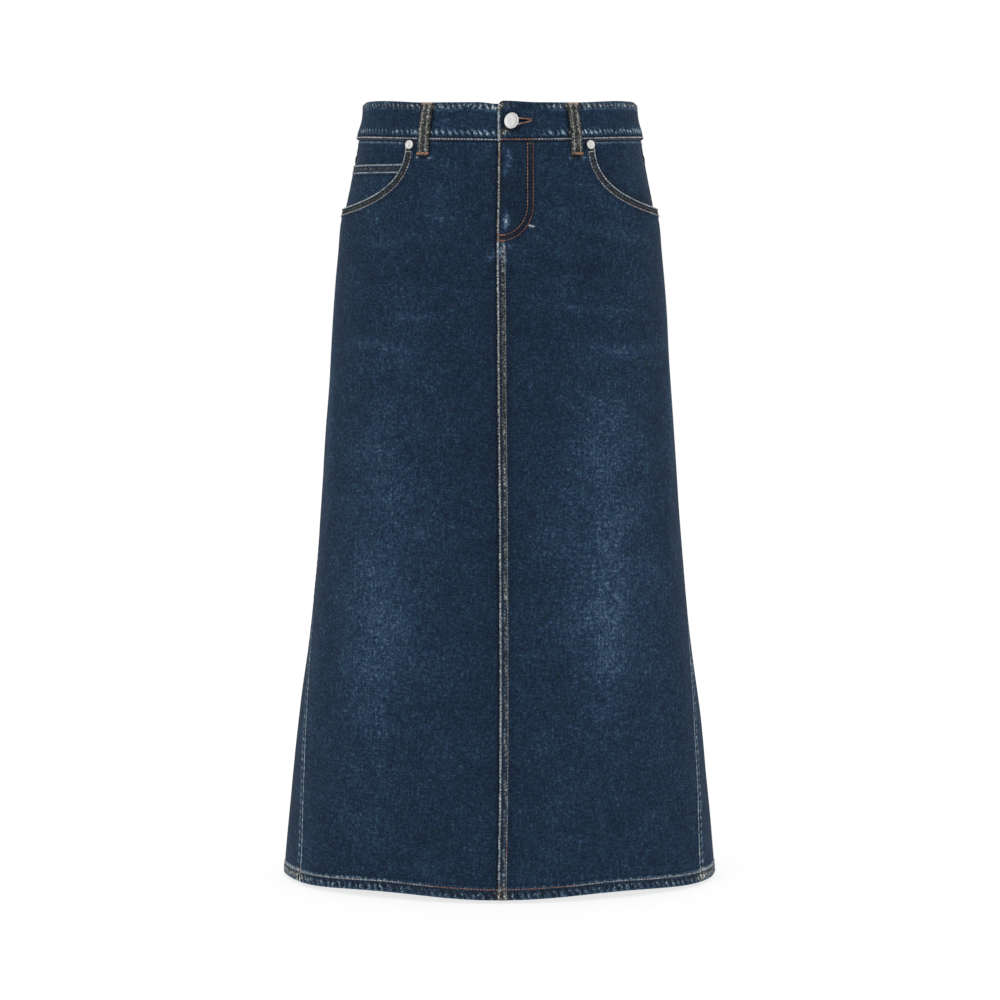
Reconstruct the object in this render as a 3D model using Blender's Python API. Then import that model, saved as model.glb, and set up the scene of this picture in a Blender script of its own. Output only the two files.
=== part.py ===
"""Denim skirt, filled out and hollow: five-pocket front with a fly, yoked back, A-line to a turned hem.

The front faces -Y, the wearer's left is +X, and the origin is the middle of the waist opening. Every
piece of cloth is a wall on one common form. A point of that form has an angle round the body, from 0 at
the centre front through 90 degrees at the wearer's left side, and a distance down from the waist.
Distances across the cloth from the centre front are turned into such angles by angle_at.
"""

import math

import bpy
import numpy as np
from mathutils import Vector

MM = 0.001

# Form of the garment, in mm: down from the waist, half width, depth to the front and to the back.
DOWN, HALF_WIDTH, FRONT_DEPTH, BACK_DEPTH = range(4)
FORM = (
    (-20, 152.6, 107.5, 102.0),
    (0, 153.8, 108.0, 104.0),
    (15, 155.3, 109.0, 105.5),
    (32, 159.8, 111.0, 108.5),
    (52, 163.4, 113.0, 113.0),
    (77, 168.6, 115.0, 119.0),
    (107, 175.2, 117.0, 125.0),
    (132, 180.2, 118.5, 129.0),
    (162, 182.8, 120.5, 132.0),
    (192, 185.6, 122.5, 134.0),
    (272, 191.0, 127.0, 137.0),
    (390, 199.4, 134.5, 142.5),
    (500, 207.0, 142.5, 149.0),
    (592, 215.8, 150.5, 154.5),
    (672, 226.8, 158.5, 161.0),
    (762, 236.6, 167.0, 168.5),
    (842, 244.4, 174.0, 174.5),
    (882, 248.0, 177.0, 177.5),
)

# Side seam: it leaves the waist just behind the side and swings forward to the hem. The columns are mm
# down and degrees from the centre front.
SEAM_DEGREES = 1
SIDE_SEAM = (
    (-20, 93.0),
    (0, 94.0),
    (52, 97.0),
    (142, 99.5),
    (292, 100.0),
    (392, 97.5),
    (492, 92.0),
    (555, 86.0),
    (620, 78.8),
    (690, 73.4),
    (752, 70.4),
    (842, 66.6),
    (882, 65.8),
)

# Soft troughs of the hanging cloth, the same on both sides. The columns are degrees from the centre
# front, half width in degrees, mm sunk at the hem, and the mm down where it starts.
TROUGHS = (
    (33, 26, 4.0, 470),
    (112, 26, 4.0, 420),
    (150, 22, 5.0, 400),
)

# Heights of the edges. The hem lifts a little between the centre and the sides.
LENGTH = 869.5 * MM
FRONT_TOP_DIP = 2.0 * MM
BACK_TOP_RISE = 7 * MM
BAND_AT_SIDE = 37 * MM
BAND_AT_FRONT = 42.5 * MM
BAND_AT_BACK = 40 * MM
HEM_LIFT = 4 * MM
HEM_LIFT_ANGLE = math.radians(32)
HEM_LIFT_HALF_WIDTH = math.radians(32)

# Cloth walls and turnings. Outward is positive from the form, and panels lie just inside it.
DENIM = 1.4 * MM
TURNING = 0.8 * MM
SEAM_GAP = 0.3 * MM
STEP = 0.6 * MM
FELL_WIDTH = 8 * MM
HEM_TURNING = 11 * MM
HEM_OUT = 0.6 * MM
HEM_IN = -2.4 * MM
BAND_OUT = 1.0 * MM
BAND_IN = -1.7 * MM
EDGE_ROLL = 0.7 * MM
EDGE_ROLL_HEIGHT = 1.4 * MM
CUTTER_REACH = 8 * MM

# Columns and rows of the panels' grids.
PANEL_COLUMNS = 15
ROWS_ABOVE_FLY_BOTTOM = 5
ROWS_BELOW_FLY_BOTTOM = 14
BAND_COLUMNS = 62
LAP_COLUMNS = 14

# Pocket mouth: a quarter of a squarish oval from the waist seam to the side seam.
MOUTH_FROM_CENTRE = 108 * MM
MOUTH_TOP = 41.5 * MM
MOUTH_DROP = 73.5 * MM
MOUTH_SQUARENESS = 2.6
MOUTH_TURNING = 9.2 * MM
MOUTH_REACH = 30 * MM

# Facing behind the pocket mouth, and the coin pocket on it.
FACING_DEEP = -3.9 * MM
FACING_SHALLOW = -1.8 * MM
FACING_WALL = 1.1 * MM
FACING_TUCK = 8 * MM
FACING_PAST_MOUTH = 12 * MM
FACING_BOTTOM = 142 * MM
COIN_TOP = 65.5 * MM
COIN_HEM = 12 * MM
COIN_BOTTOM = 132 * MM
COIN_WALL = 1.0 * MM
COIN_STAND = 0.6 * MM
COIN_HEM_OUT = 0.2 * MM

# Fly, with the waistband's ends over it.
FLAP_PAST_CENTRE = 1.8 * MM
FLAP_CORNER = 7 * MM
FLAP_LIFT = 1.5 * MM
UNDERLAP_DIP = 1.5 * MM
UNDERLAP_SINK = 3.1 * MM
UNDERLAP_SINKS_OVER = 24 * MM
UNDERLAP_PAST_CENTRE = 33 * MM
FLY_BOTTOM = 150 * MM
FLY_UNDERLAP_FROM = -10 * MM
FLY_UNDERLAP_TO = 32 * MM
FLY_UNDERLAP_WALL = 1.2 * MM

# Yoke depths below the waistband.
YOKE_AT_SIDE = 26 * MM
YOKE_AT_BACK = 62 * MM

# Belt loops: name, degrees from the centre front, and what raises the cloth under the lower end. The
# centre back one lies over the felled seam.
LOOP_WIDTH = 12 * MM
LOOP_WALL = 2.0 * MM
LOOP_BELOW_BAND = 16.5 * MM
LOOP_STAND = 2.2 * MM
LOOPS = (
    ("belt_loop_front_right", -30.8, 0.0),
    ("belt_loop_front_left", 30.8, 0.0),
    ("belt_loop_back_right", -118.0, 0.0),
    ("belt_loop_back_left", 118.0, 0.0),
    ("belt_loop_centre_back", 180.0, TURNING),
)

# Button, buttonhole and rivets.
BUTTON_RADIUS = 9.2 * MM
BUTTON_FROM_CENTRE = 12.4 * MM
BUTTON_DOWN = 22.8 * MM
BUTTON_STAND = 5.8 * MM
BUTTON_TURN = math.radians(26)
SHANK_RADIUS = 2.2 * MM
EYELET_RADIUS = 2.8 * MM
SLIT_END = 34.5 * MM
SLIT_WIDTH = 1.6 * MM
RIVET_RADIUS = 5.0 * MM
RIVET_FROM_CENTRE = 102.2 * MM
RIVET_BELOW_BAND = 5.3 * MM
RIVET_SEAT = 1.2 * MM

DENIM_COLOUR = (0.016, 0.033, 0.062, 1)
LOOP_COLOUR = (0.12, 0.13, 0.13, 1)
METAL_COLOUR = (0.72, 0.71, 0.69, 1)


def curve(table, column, down):
    """A smooth curve through one column of a table whose first column is in mm down."""
    rows = np.array(table, float)
    height = rows[:, DOWN]
    at = np.clip(np.asarray(down, float) / MM, height[0], height[-1])
    slope = np.gradient(rows[:, column], height)
    i = np.clip(np.searchsorted(height, at, side="right") - 1, 0, len(rows) - 2)
    span = height[i + 1] - height[i]
    t = (at - height[i]) / span
    leaving = (1 + 2 * t) * (1 - t) ** 2 * rows[i, column] + t * (1 - t) ** 2 * span * slope[i]
    arriving = t * t * (3 - 2 * t) * rows[i + 1, column] + t * t * (t - 1) * span * slope[i + 1]
    return leaving + arriving


def smooth(value, start, end):
    """0 up to start, 1 from end on, and an even change between them."""
    t = np.clip((value - start) / (end - start), 0, 1)
    return t * t * (3 - 2 * t)


def hump(value, middle, half_width):
    """1 at the middle, falling in a cosine to 0 half a width away."""
    return 0.5 + 0.5 * np.cos(math.pi * np.clip((value - middle) / half_width, -1, 1))


def turned_from_front(angle):
    """The angle from the centre front, whichever way round: 0 to 180 degrees."""
    return np.abs((np.asarray(angle) + math.pi) % (2 * math.pi) - math.pi)


def form_point(angle, down):
    """The point of the bare form, without troughs."""
    half_width = curve(FORM, HALF_WIDTH, down) * MM
    depth = np.where(np.cos(angle) > 0, curve(FORM, FRONT_DEPTH, down), curve(FORM, BACK_DEPTH, down)) * MM
    return np.stack([half_width * np.sin(angle), -depth * np.cos(angle), -np.asarray(down)], axis=-1)


def form_normal(angle, down):
    """The outward direction of the bare form, from its two slopes."""
    small = 1e-4
    round_body = form_point(angle + small, down) - form_point(angle - small, down)
    downwards = form_point(angle, down + small) - form_point(angle, down - small)
    normal = np.cross(downwards, round_body)
    return normal / np.linalg.norm(normal, axis=-1, keepdims=True)


def trough_depth(angle, down):
    """How far the soft troughs sink in: each deepens towards the hem."""
    turned = np.degrees(turned_from_front(angle))
    sink = np.zeros(turned.shape)
    for degrees, half_width, deepest, starts in TROUGHS:
        sink = sink + deepest * MM * hump(turned, degrees, half_width) * smooth(down, starts * MM, LENGTH)
    return sink


def place(angle, down, out=0.0):
    """A point of the cloth, this far out from the form."""
    angle, down, out = np.broadcast_arrays(np.asarray(angle, float), down, out)
    reach = out - trough_depth(angle, down)
    return form_point(angle, down) + form_normal(angle, down) * reach[..., None]


def distance_table(down):
    """Angles from 0 to 180 degrees and the distance of each across the cloth from the centre front."""
    turns = np.linspace(0, math.pi, 361)
    ring = form_point(turns, np.full(turns.shape, down))
    steps = np.linalg.norm(np.diff(ring, axis=0), axis=1)
    return turns, np.concatenate([[0], np.cumsum(steps)])


def angle_at(across, down):
    """The angle that lies this far across the cloth from the centre front, at this height."""
    across, down = np.broadcast_arrays(np.asarray(across, float), down)
    found = np.empty(across.shape)
    for i in np.ndindex(across.shape):
        turns, distances = distance_table(down[i])
        found[i] = math.copysign(np.interp(abs(across[i]), distances, turns), across[i])
    return found


def side_angle(down):
    """The side seam's angle."""
    return np.radians(curve(SIDE_SEAM, SEAM_DEGREES, down))


def side_distance(down):
    """How far across the cloth the side seam lies from the centre front."""
    turns, distances = distance_table(down)
    return float(np.interp(side_angle(down), turns, distances))


def top_line(angle):
    """Height of the waistband's top edge, down from the waist: a little low in front, high behind."""
    towards_front = np.maximum(np.cos(angle), 0) ** 2
    towards_back = np.maximum(-np.cos(angle), 0) ** 2
    return FRONT_TOP_DIP * towards_front - BACK_TOP_RISE * towards_back


def waist_seam(angle):
    """Height of the waistband's lower edge."""
    front = (BAND_AT_FRONT - BAND_AT_SIDE) * np.maximum(np.cos(angle), 0) ** 1.6
    back = (BAND_AT_BACK - BAND_AT_SIDE) * np.maximum(-np.cos(angle), 0) ** 2
    return top_line(angle) + BAND_AT_SIDE + front + back


def yoke_seam(angle):
    """Height of the seam under the yoke, a shallow V with its point at the centre back."""
    turned = turned_from_front(angle)
    start = side_angle(BAND_AT_SIDE + YOKE_AT_SIDE)
    share = np.clip((turned - start) / (math.pi - start), 0, 1)
    return waist_seam(angle) + YOKE_AT_SIDE + (YOKE_AT_BACK - YOKE_AT_SIDE) * share


def hem_line(angle):
    """Height of the hem."""
    turned = turned_from_front(angle)
    nearest = np.minimum(turned, math.pi - turned)
    return LENGTH - HEM_LIFT * hump(nearest, HEM_LIFT_ANGLE, HEM_LIFT_HALF_WIDTH)


def finish(name, mesh, colour, roughness, metallic):
    """An object of this mesh in the scene, shaded smooth, with a material of its own."""
    mesh.shade_smooth()
    mesh.set_sharp_from_angle(angle=math.radians(40))
    obj = bpy.data.objects.new(name, mesh)
    bpy.context.scene.collection.objects.link(obj)
    material = bpy.data.materials.new(name)
    material.use_nodes = True
    shader = material.node_tree.nodes["Principled BSDF"]
    shader.inputs["Base Color"].default_value = colour
    shader.inputs["Roughness"].default_value = roughness
    shader.inputs["Metallic"].default_value = metallic
    mesh.materials.append(material)
    return obj


def closed_grid(outer, inner):
    """A mesh closed round two grids of points: outer faces out, inner faces in, and four rims join them."""
    rows, columns = outer.shape[:2]
    index = np.arange(rows * columns).reshape(rows, columns)
    skin = np.stack([index[:-1, :-1], index[1:, :-1], index[1:, 1:], index[:-1, 1:]], axis=-1)
    skin = skin.reshape(-1, 4)
    behind = rows * columns
    rim = np.concatenate([index[0, :], index[1:, -1], index[-1, -2::-1], index[-2:0:-1, 0]])
    after = np.roll(rim, -1)
    edge = np.stack([rim, after, after + behind, rim + behind], axis=-1)
    faces = np.concatenate([skin, skin[:, ::-1] + behind, edge])
    points = np.concatenate([outer.reshape(-1, 3), inner.reshape(-1, 3)])
    mesh = bpy.data.meshes.new("cloth")
    mesh.from_pydata(points.tolist(), [], faces.tolist())
    return mesh


def cloth(name, angle, down, outer, inner, colour=DENIM_COLOUR):
    """A wall of cloth over a grid of angles and heights, rows going down and columns towards +X."""
    mesh = closed_grid(place(angle, down, outer), place(angle, down, inner))
    return finish(name, mesh, colour, 0.85, 0.0)


def hide(tool):
    """Makes an object a helper, which is no piece itself."""
    tool.hide_render = True
    tool.display_type = "WIRE"
    return tool


def combine(piece, tool, operation):
    """Cuts the tool from the piece, or joins it to the piece."""
    modifier = piece.modifiers.new(tool.name, "BOOLEAN")
    modifier.operation = operation
    modifier.solver = "EXACT"
    modifier.object = tool


def mirrored(side, *grids):
    """The grids for the wearer's left as they are, and for the right mirrored, columns still towards +X."""
    if side > 0:
        return grids
    angle, *others = (grid[:, ::-1] for grid in grids)
    return (-angle, *others)


def panel_heights():
    """Nominal heights down a panel: past the fly, then to the turned hem, where three rows make its step."""
    upper = np.linspace(BAND_AT_FRONT, FLY_BOTTOM, ROWS_ABOVE_FLY_BOTTOM)
    lower = np.linspace(FLY_BOTTOM + STEP, LENGTH - HEM_TURNING - STEP, ROWS_BELOW_FLY_BOTTOM)
    return np.concatenate([upper, lower, [LENGTH - HEM_TURNING, LENGTH]])


def fitted_heights(nominal, angle, top):
    """A grid of heights whose first row follows the top seam and whose last three follow the hem."""
    down = np.repeat(nominal[:, None], angle.shape[1], axis=1)
    down[0] = top(angle[0]) + SEAM_GAP / 2
    for row, above in ((-3, HEM_TURNING + STEP), (-2, HEM_TURNING), (-1, 0)):
        down[row] = hem_line(angle[row]) - above
    return down


def panel_offsets(shape):
    """Outer and inner distances of a panel, with the hem turned up along its last two rows."""
    outer = np.zeros(shape)
    inner = np.full(shape, -DENIM)
    outer[-2:] = HEM_OUT
    inner[-2:] = HEM_IN
    return outer, inner


def half_gap(down):
    """Half the gap of a seam, as an angle at the side."""
    return SEAM_GAP / 2 / (curve(FORM, FRONT_DEPTH, down) * MM)


def mouth(t, into_panel=0.0):
    """The pocket mouth as distances across and down, for t from 0 at the waist seam to 1 at the side seam.

    It is a superellipse, run on straight past both ends. into_panel moves it square to itself.
    """
    end = side_distance(MOUTH_TOP + MOUTH_DROP)
    turn = np.linspace(0, math.pi / 2, 241)
    power = 2 / MOUTH_SQUARENESS
    across = end - (end - MOUTH_FROM_CENTRE) * np.abs(np.cos(turn)) ** power
    down = MOUTH_TOP + MOUTH_DROP * np.sin(turn) ** power
    across[-1] = end
    across = np.concatenate([[MOUTH_FROM_CENTRE], across, [end + MOUTH_REACH]])
    down = np.concatenate([[MOUTH_TOP - MOUTH_REACH], down, [MOUTH_TOP + MOUTH_DROP]])
    along = np.concatenate([[0], np.cumsum(np.hypot(np.diff(across), np.diff(down)))])
    along = (along - along[1]) / (along[-2] - along[1])
    small = 0.01
    before = np.interp(t - small, along, across), np.interp(t - small, along, down)
    after = np.interp(t + small, along, across), np.interp(t + small, along, down)
    run, fall = after[0] - before[0], after[1] - before[1]
    length = np.hypot(run, fall)
    across = np.interp(t, along, across) - into_panel * fall / length
    down = np.interp(t, along, down) + into_panel * run / length
    return across, down


def mouth_cutter(side):
    """What the pocket mouth takes off the panel: all that lies between its curve and the waist."""
    t = np.linspace(-0.14, 1.12, 30)
    edge_across, edge_down = mouth(t)
    share = np.linspace(0, 1, len(t))
    far_across = MOUTH_FROM_CENTRE + (edge_across[-1] - MOUTH_FROM_CENTRE) * share
    far_down = MOUTH_TOP - MOUTH_REACH
    mix = np.linspace(0, 1, 4)[None, :]
    across = edge_across[:, None] * (1 - mix) + far_across[:, None] * mix
    down = edge_down[:, None] * (1 - mix) + far_down * mix
    grids = mirrored(side, angle_at(across, down), down)
    return hide(cloth(f"mouth_cutter_{side}", *grids, CUTTER_REACH, -CUTTER_REACH))


def mouth_turning(side):
    """The turned edge along the pocket mouth, a low raised strip that the cutter trims flush."""
    t = np.linspace(0.012, 0.996, 26)[:, None]
    into_panel = np.array([[-1.5 * MM, MOUTH_TURNING]])
    across, down = mouth(t, into_panel)
    grids = mirrored(side, angle_at(across, down), down)
    return hide(cloth(f"mouth_turning_{side}", *grids, TURNING, -DENIM / 2))


def front_panel(name, side):
    """A front panel. The left one has the felled band of the centre seam, from the fly down."""
    nominal = panel_heights()
    fixed = np.array([SEAM_GAP / 2, FELL_WIDTH, FELL_WIDTH + STEP])
    first = angle_at(fixed[None, :], nominal[:, None])
    last = (side_angle(nominal) - half_gap(nominal))[:, None]
    share = np.linspace(0, 1, PANEL_COLUMNS)[None, 1:]
    angle = np.concatenate([first, first[:, 2:] + (last - first[:, 2:]) * share], axis=1)
    down = fitted_heights(nominal, angle, waist_seam)
    outer, inner = panel_offsets(angle.shape)
    if side > 0:
        outer[:, :2] += TURNING * (down[:, :2] > FLY_BOTTOM + STEP / 2)
    panel = cloth(name, *mirrored(side, angle, down, outer, inner))
    combine(panel, mouth_turning(side), "UNION")
    combine(panel, mouth_cutter(side), "DIFFERENCE")


def back_columns(nominal, count):
    """Angles across a back piece: even steps from the side seam, then the felled band at the centre back."""
    from_centre = np.array([FELL_WIDTH + STEP, FELL_WIDTH, SEAM_GAP / 2])
    last = math.pi - from_centre[None, :] / (curve(FORM, HALF_WIDTH, nominal)[:, None] * MM)
    first = (side_angle(nominal) + half_gap(nominal))[:, None]
    share = np.linspace(0, 1, count)[None, :-1]
    return np.concatenate([first + (last[:, :1] - first) * share, last], axis=1)


def back_panel(name, side):
    """A back panel, from the yoke to the hem. The left one has the felled band."""
    upper = ROWS_ABOVE_FLY_BOTTOM
    nominal = np.delete(panel_heights(), upper)
    nominal[:upper] = np.linspace(BAND_AT_SIDE + YOKE_AT_SIDE, FLY_BOTTOM, upper)
    angle = back_columns(nominal, PANEL_COLUMNS)
    down = fitted_heights(nominal, angle, yoke_seam)
    share = np.linspace(0, 1, upper)[:, None]
    down[:upper] = down[0] + (FLY_BOTTOM - down[0]) * share
    outer, inner = panel_offsets(angle.shape)
    if side > 0:
        outer[:, -2:] += TURNING
    cloth(name, *mirrored(side, angle, down, outer, inner))


def yoke(name, side):
    """Half of the back yoke, turned under along its lower seam."""
    nominal = np.linspace(BAND_AT_SIDE, BAND_AT_SIDE + YOKE_AT_SIDE, 5)
    angle = back_columns(nominal, 13)
    top, bottom = waist_seam(angle[0]) + SEAM_GAP / 2, yoke_seam(angle[-1]) - SEAM_GAP / 2
    share = np.linspace(0, 1, 3)[:, None]
    turning = bottom - FELL_WIDTH
    down = np.concatenate([top + (turning - STEP - top) * share, [turning], [bottom]])
    outer = np.zeros(angle.shape)
    outer[-2:] = TURNING
    if side > 0:
        outer[:, -2:] = TURNING
    cloth(name, *mirrored(side, angle, down, outer, np.full(angle.shape, -DENIM)))


def facing_offset(angle, down):
    """How deep the pocket facing lies: shallow where it is sewn to the waist seam and to the side seam."""
    from_seam = smooth(down, waist_seam(angle) + 1 * MM, waist_seam(angle) + 9 * MM)
    from_side = (side_angle(down) - angle) * curve(FORM, FRONT_DEPTH, down) * MM
    free_of_side = smooth(from_side, 2 * MM, 16 * MM)
    low = smooth(down, 85 * MM, 104 * MM)
    deep = from_seam * (free_of_side + (1 - free_of_side) * low)
    return FACING_SHALLOW + (FACING_DEEP - FACING_SHALLOW) * deep


def facing_grid(from_across, past_side, top, bottom, rows, columns):
    """Angles and heights of an upright patch behind the pocket mouth."""
    nominal = np.linspace(top, bottom, rows)
    first = angle_at(from_across, nominal)[:, None]
    last = (side_angle(nominal) + past_side / (curve(FORM, FRONT_DEPTH, nominal) * MM))[:, None]
    angle = first + (last - first) * np.linspace(0, 1, columns)[None, :]
    return angle, np.repeat(nominal[:, None], columns, axis=1)


def pocket_facing(name, side):
    """The back of the pocket, tucked under the front panel and under the back panel's edge."""
    start = MOUTH_FROM_CENTRE - FACING_PAST_MOUTH
    angle, down = facing_grid(start, FACING_TUCK, BAND_AT_SIDE, FACING_BOTTOM, 13, 15)
    down[0] = waist_seam(angle[0]) + SEAM_GAP
    down[1] = down[0] + 9 * MM
    outer = facing_offset(angle, down)
    cloth(name, *mirrored(side, angle, down, outer, outer - FACING_WALL))


def coin_pocket(name, side):
    """The small pocket on the facing, with a turned top edge, passing down behind the pocket mouth."""
    angle, down = facing_grid(MOUTH_FROM_CENTRE, -SEAM_GAP, COIN_TOP, COIN_BOTTOM, 10, 14)
    down[1], down[2] = COIN_TOP + COIN_HEM, COIN_TOP + COIN_HEM + STEP
    down[3:] = np.linspace(COIN_TOP + 2 * COIN_HEM, COIN_BOTTOM, 7)[:, None]
    inner = facing_offset(angle, down) + COIN_STAND
    outer = inner + COIN_WALL
    outer[:2] += COIN_HEM_OUT
    cloth(name, *mirrored(side, angle, down, outer, inner))


def fly_underlap():
    """The strip behind the fly edge."""
    nominal = np.linspace(BAND_AT_FRONT, FLY_BOTTOM + STEP, 8)[:, None]
    angle = angle_at(np.linspace(FLY_UNDERLAP_FROM, FLY_UNDERLAP_TO, 5)[None, :], nominal)
    down = np.repeat(nominal, 5, axis=1)
    down[0] = waist_seam(angle[0]) + SEAM_GAP
    outer = -DENIM - SEAM_GAP
    cloth("fly_underlap", angle, down, outer, outer - FLY_UNDERLAP_WALL)


def waistband():
    """The waistband: once round from the buttonhole end, then on behind it to the button end."""
    half_width = curve(FORM, HALF_WIDTH, BUTTON_DOWN) * MM
    flap = np.array([0, 0.08, 0.25, 0.5, 0.75, 1]) * FLAP_CORNER - FLAP_PAST_CENTRE
    lap = np.linspace(-UNDERLAP_SINKS_OVER, UNDERLAP_PAST_CENTRE, LAP_COLUMNS)
    behind_flap = LAP_COLUMNS // 2
    lap[behind_flap] = -FLAP_PAST_CENTRE - 1 * MM
    start, stop = flap[-1] / half_width, 2 * math.pi + lap[0] / half_width
    middle = np.linspace(start, stop, BAND_COLUMNS)[1:-1]
    turn = np.concatenate([flap / half_width, middle, 2 * math.pi + lap / half_width])
    past_start = turn * half_width + FLAP_PAST_CENTRE
    past_centre = (turn - 2 * math.pi) * half_width
    short = np.clip(FLAP_CORNER - past_start, 0, FLAP_CORNER)
    corner = FLAP_CORNER - np.sqrt(FLAP_CORNER**2 - short**2)
    lift = FLAP_LIFT * (1 - smooth(past_start, 8 * MM, 45 * MM))
    sunk = smooth(past_centre, lap[0], lap[behind_flap])
    top = top_line(turn) + corner - lift + UNDERLAP_DIP * sunk
    bottom = waist_seam(turn)
    roll = np.array([0, EDGE_ROLL_HEIGHT])[:, None]
    down = np.concatenate([top + roll, [(top + bottom) / 2], bottom - roll[::-1]])
    rolled = np.array([1, 0, 0, 0, 0.5])[:, None] * EDGE_ROLL
    outer = BAND_OUT - rolled - UNDERLAP_SINK * sunk
    inner = BAND_IN + rolled - UNDERLAP_SINK * sunk
    band = cloth("waistband", np.repeat(turn[None, :], 5, axis=0), down, outer, inner)
    combine(band, slit_cutter(), "DIFFERENCE")
    combine(band, eyelet_cutter(), "DIFFERENCE")


def slit_cutter():
    """The straight part of the keyhole buttonhole, through the lapping end only."""
    across = np.linspace(BUTTON_FROM_CENTRE, SLIT_END, 4)[None, :]
    down = BUTTON_DOWN + np.array([-0.5, 0.5])[:, None] * SLIT_WIDTH
    angle = angle_at(across, np.repeat(down, 4, axis=1))
    return hide(cloth("slit_cutter", angle, down, 4 * MM, BAND_IN - 0.15 * MM))


def turned_mesh(profile, steps=32):
    """A round piece from (radius, height) points, which run from the front's middle out and back in."""
    turn = np.linspace(0, 2 * math.pi, steps, endpoint=False)
    radius, height = np.array(profile, float).T[:, :, None]
    rings = [radius * np.cos(turn), radius * np.sin(turn), height + 0 * turn]
    points = np.stack(rings, axis=-1).reshape(-1, 3)
    faces = []
    for ring in range(len(profile) - 1):
        for step in range(steps):
            after = (step + 1) % steps
            near, far = ring * steps, (ring + 1) * steps
            faces.append((near + step, far + step, far + after, near + after))
    faces.append(tuple(range(steps)))
    faces.append(tuple((len(profile) - 1) * steps + step for step in reversed(range(steps))))
    mesh = bpy.data.meshes.new("turned")
    mesh.from_pydata(points.tolist(), [], faces)
    return mesh


def stand_on_cloth(obj, angle, down, out, turn=0.0):
    """Puts a round piece on the cloth with its axis out from it, turned about the upright by an angle."""
    normal = Vector(form_normal(np.array(angle), np.array(down)).tolist())
    heading = math.atan2(normal.y, normal.x) + turn
    flat = math.hypot(normal.x, normal.y)
    axis = Vector((flat * math.cos(heading), flat * math.sin(heading), normal.z))
    obj.rotation_mode = "QUATERNION"
    obj.rotation_quaternion = axis.to_track_quat("Z", "Y")
    obj.location = Vector(place(angle, down, out).tolist())
    return obj


def button_angle():
    """The button's angle round the body."""
    return float(angle_at(BUTTON_FROM_CENTRE, BUTTON_DOWN))


def eyelet_cutter():
    """The round end of the buttonhole, which the button's shank passes through."""
    low, high = BAND_IN - 0.15 * MM, 4 * MM
    mesh = turned_mesh(((EYELET_RADIUS, high), (EYELET_RADIUS, low)), 20)
    cutter = finish("eyelet_cutter", mesh, METAL_COLOUR, 0.4, 1.0)
    return hide(stand_on_cloth(cutter, button_angle(), BUTTON_DOWN, 0.0))


def button():
    """A shank button: a dished head with a rim, leaning on a shank that stands on the button end."""
    radius = BUTTON_RADIUS
    profile = (
        (0.40 * radius, 0.8 * MM),
        (0.76 * radius, 1.0 * MM),
        (0.84 * radius, 1.5 * MM),
        (0.94 * radius, 1.4 * MM),
        (1.00 * radius, 0.7 * MM),
        (0.97 * radius, 0.0),
        (0.60 * radius, -0.7 * MM),
        (0.36 * radius, -1.5 * MM),
    )
    head = finish("button", turned_mesh(profile), METAL_COLOUR, 0.35, 1.0)
    stand_on_cloth(head, button_angle(), BUTTON_DOWN, BUTTON_STAND, -BUTTON_TURN)
    foot = BAND_OUT - UNDERLAP_SINK + SEAM_GAP
    shank_profile = (
        (SHANK_RADIUS, BUTTON_STAND - 0.6 * MM),
        (SHANK_RADIUS, foot),
    )
    shank = finish("shank", turned_mesh(shank_profile, 16), METAL_COLOUR, 0.35, 1.0)
    hide(stand_on_cloth(shank, button_angle(), BUTTON_DOWN, 0.0))
    combine(head, shank, "UNION")


def rivet(name, side):
    """A rivet cap at the top corner of a pocket mouth: a rounded rim round a small middle boss."""
    radius = RIVET_RADIUS
    profile = (
        (0.14 * radius, 1.5 * MM),
        (0.24 * radius, 1.1 * MM),
        (0.36 * radius, 0.9 * MM),
        (0.52 * radius, 1.2 * MM),
        (0.80 * radius, 1.2 * MM),
        (0.96 * radius, 0.8 * MM),
        (1.00 * radius, 0.3 * MM),
        (0.98 * radius, 0.0),
    )
    angle = float(angle_at(RIVET_FROM_CENTRE, MOUTH_TOP)) * side
    down = float(waist_seam(angle)) + RIVET_BELOW_BAND
    cap = finish(name, turned_mesh(profile, 24), METAL_COLOUR, 0.35, 1.0)
    stand_on_cloth(cap, angle, down, RIVET_SEAT)


def belt_loop(name, degrees, relief):
    """A belt loop: tacked flat at the waistband's top and below its seam, and standing off between."""
    middle = math.radians(degrees)
    sides = place(middle + np.array([-0.5, 0.5]), BAND_AT_SIDE)
    half = LOOP_WIDTH / 2 / float(np.linalg.norm(sides[1] - sides[0]))
    angle = middle + np.array([-1.0, -0.4, 0.4, 1.0])[None, :] * half
    top, seam = float(top_line(middle)), float(waist_seam(middle))
    on_band, off_band = BAND_OUT + SEAM_GAP, BAND_OUT + LOOP_STAND
    rows = (
        (top + 1 * MM, on_band),
        (top + 5 * MM, on_band),
        (top + 11 * MM, off_band),
        (seam - 9 * MM, off_band),
        (seam + 1 * MM, on_band + relief + 0.5 * MM),
        (seam + 8 * MM, SEAM_GAP + relief + 0.9 * MM),
        (seam + LOOP_BELOW_BAND - 3 * MM, SEAM_GAP + relief),
        (seam + LOOP_BELOW_BAND, SEAM_GAP + relief),
    )
    down = np.array([row[0] for row in rows])[:, None]
    inner = np.array([row[1] for row in rows])[:, None]
    grid = np.repeat(angle, len(rows), axis=0)
    cloth(name, grid, np.repeat(down, 4, axis=1), inner + LOOP_WALL, inner, LOOP_COLOUR)


def main():
    for obj in list(bpy.data.objects):
        bpy.data.objects.remove(obj)
    for word, side in (("right", -1), ("left", 1)):
        front_panel(f"front_{word}", side)
        back_panel(f"back_{word}", side)
        yoke(f"yoke_{word}", side)
        pocket_facing(f"pocket_facing_{word}", side)
        rivet(f"rivet_{word}", side)
    coin_pocket("coin_pocket", -1)
    fly_underlap()
    waistband()
    for name, degrees, relief in LOOPS:
        belt_loop(name, degrees, relief)
    button()


main()
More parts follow.
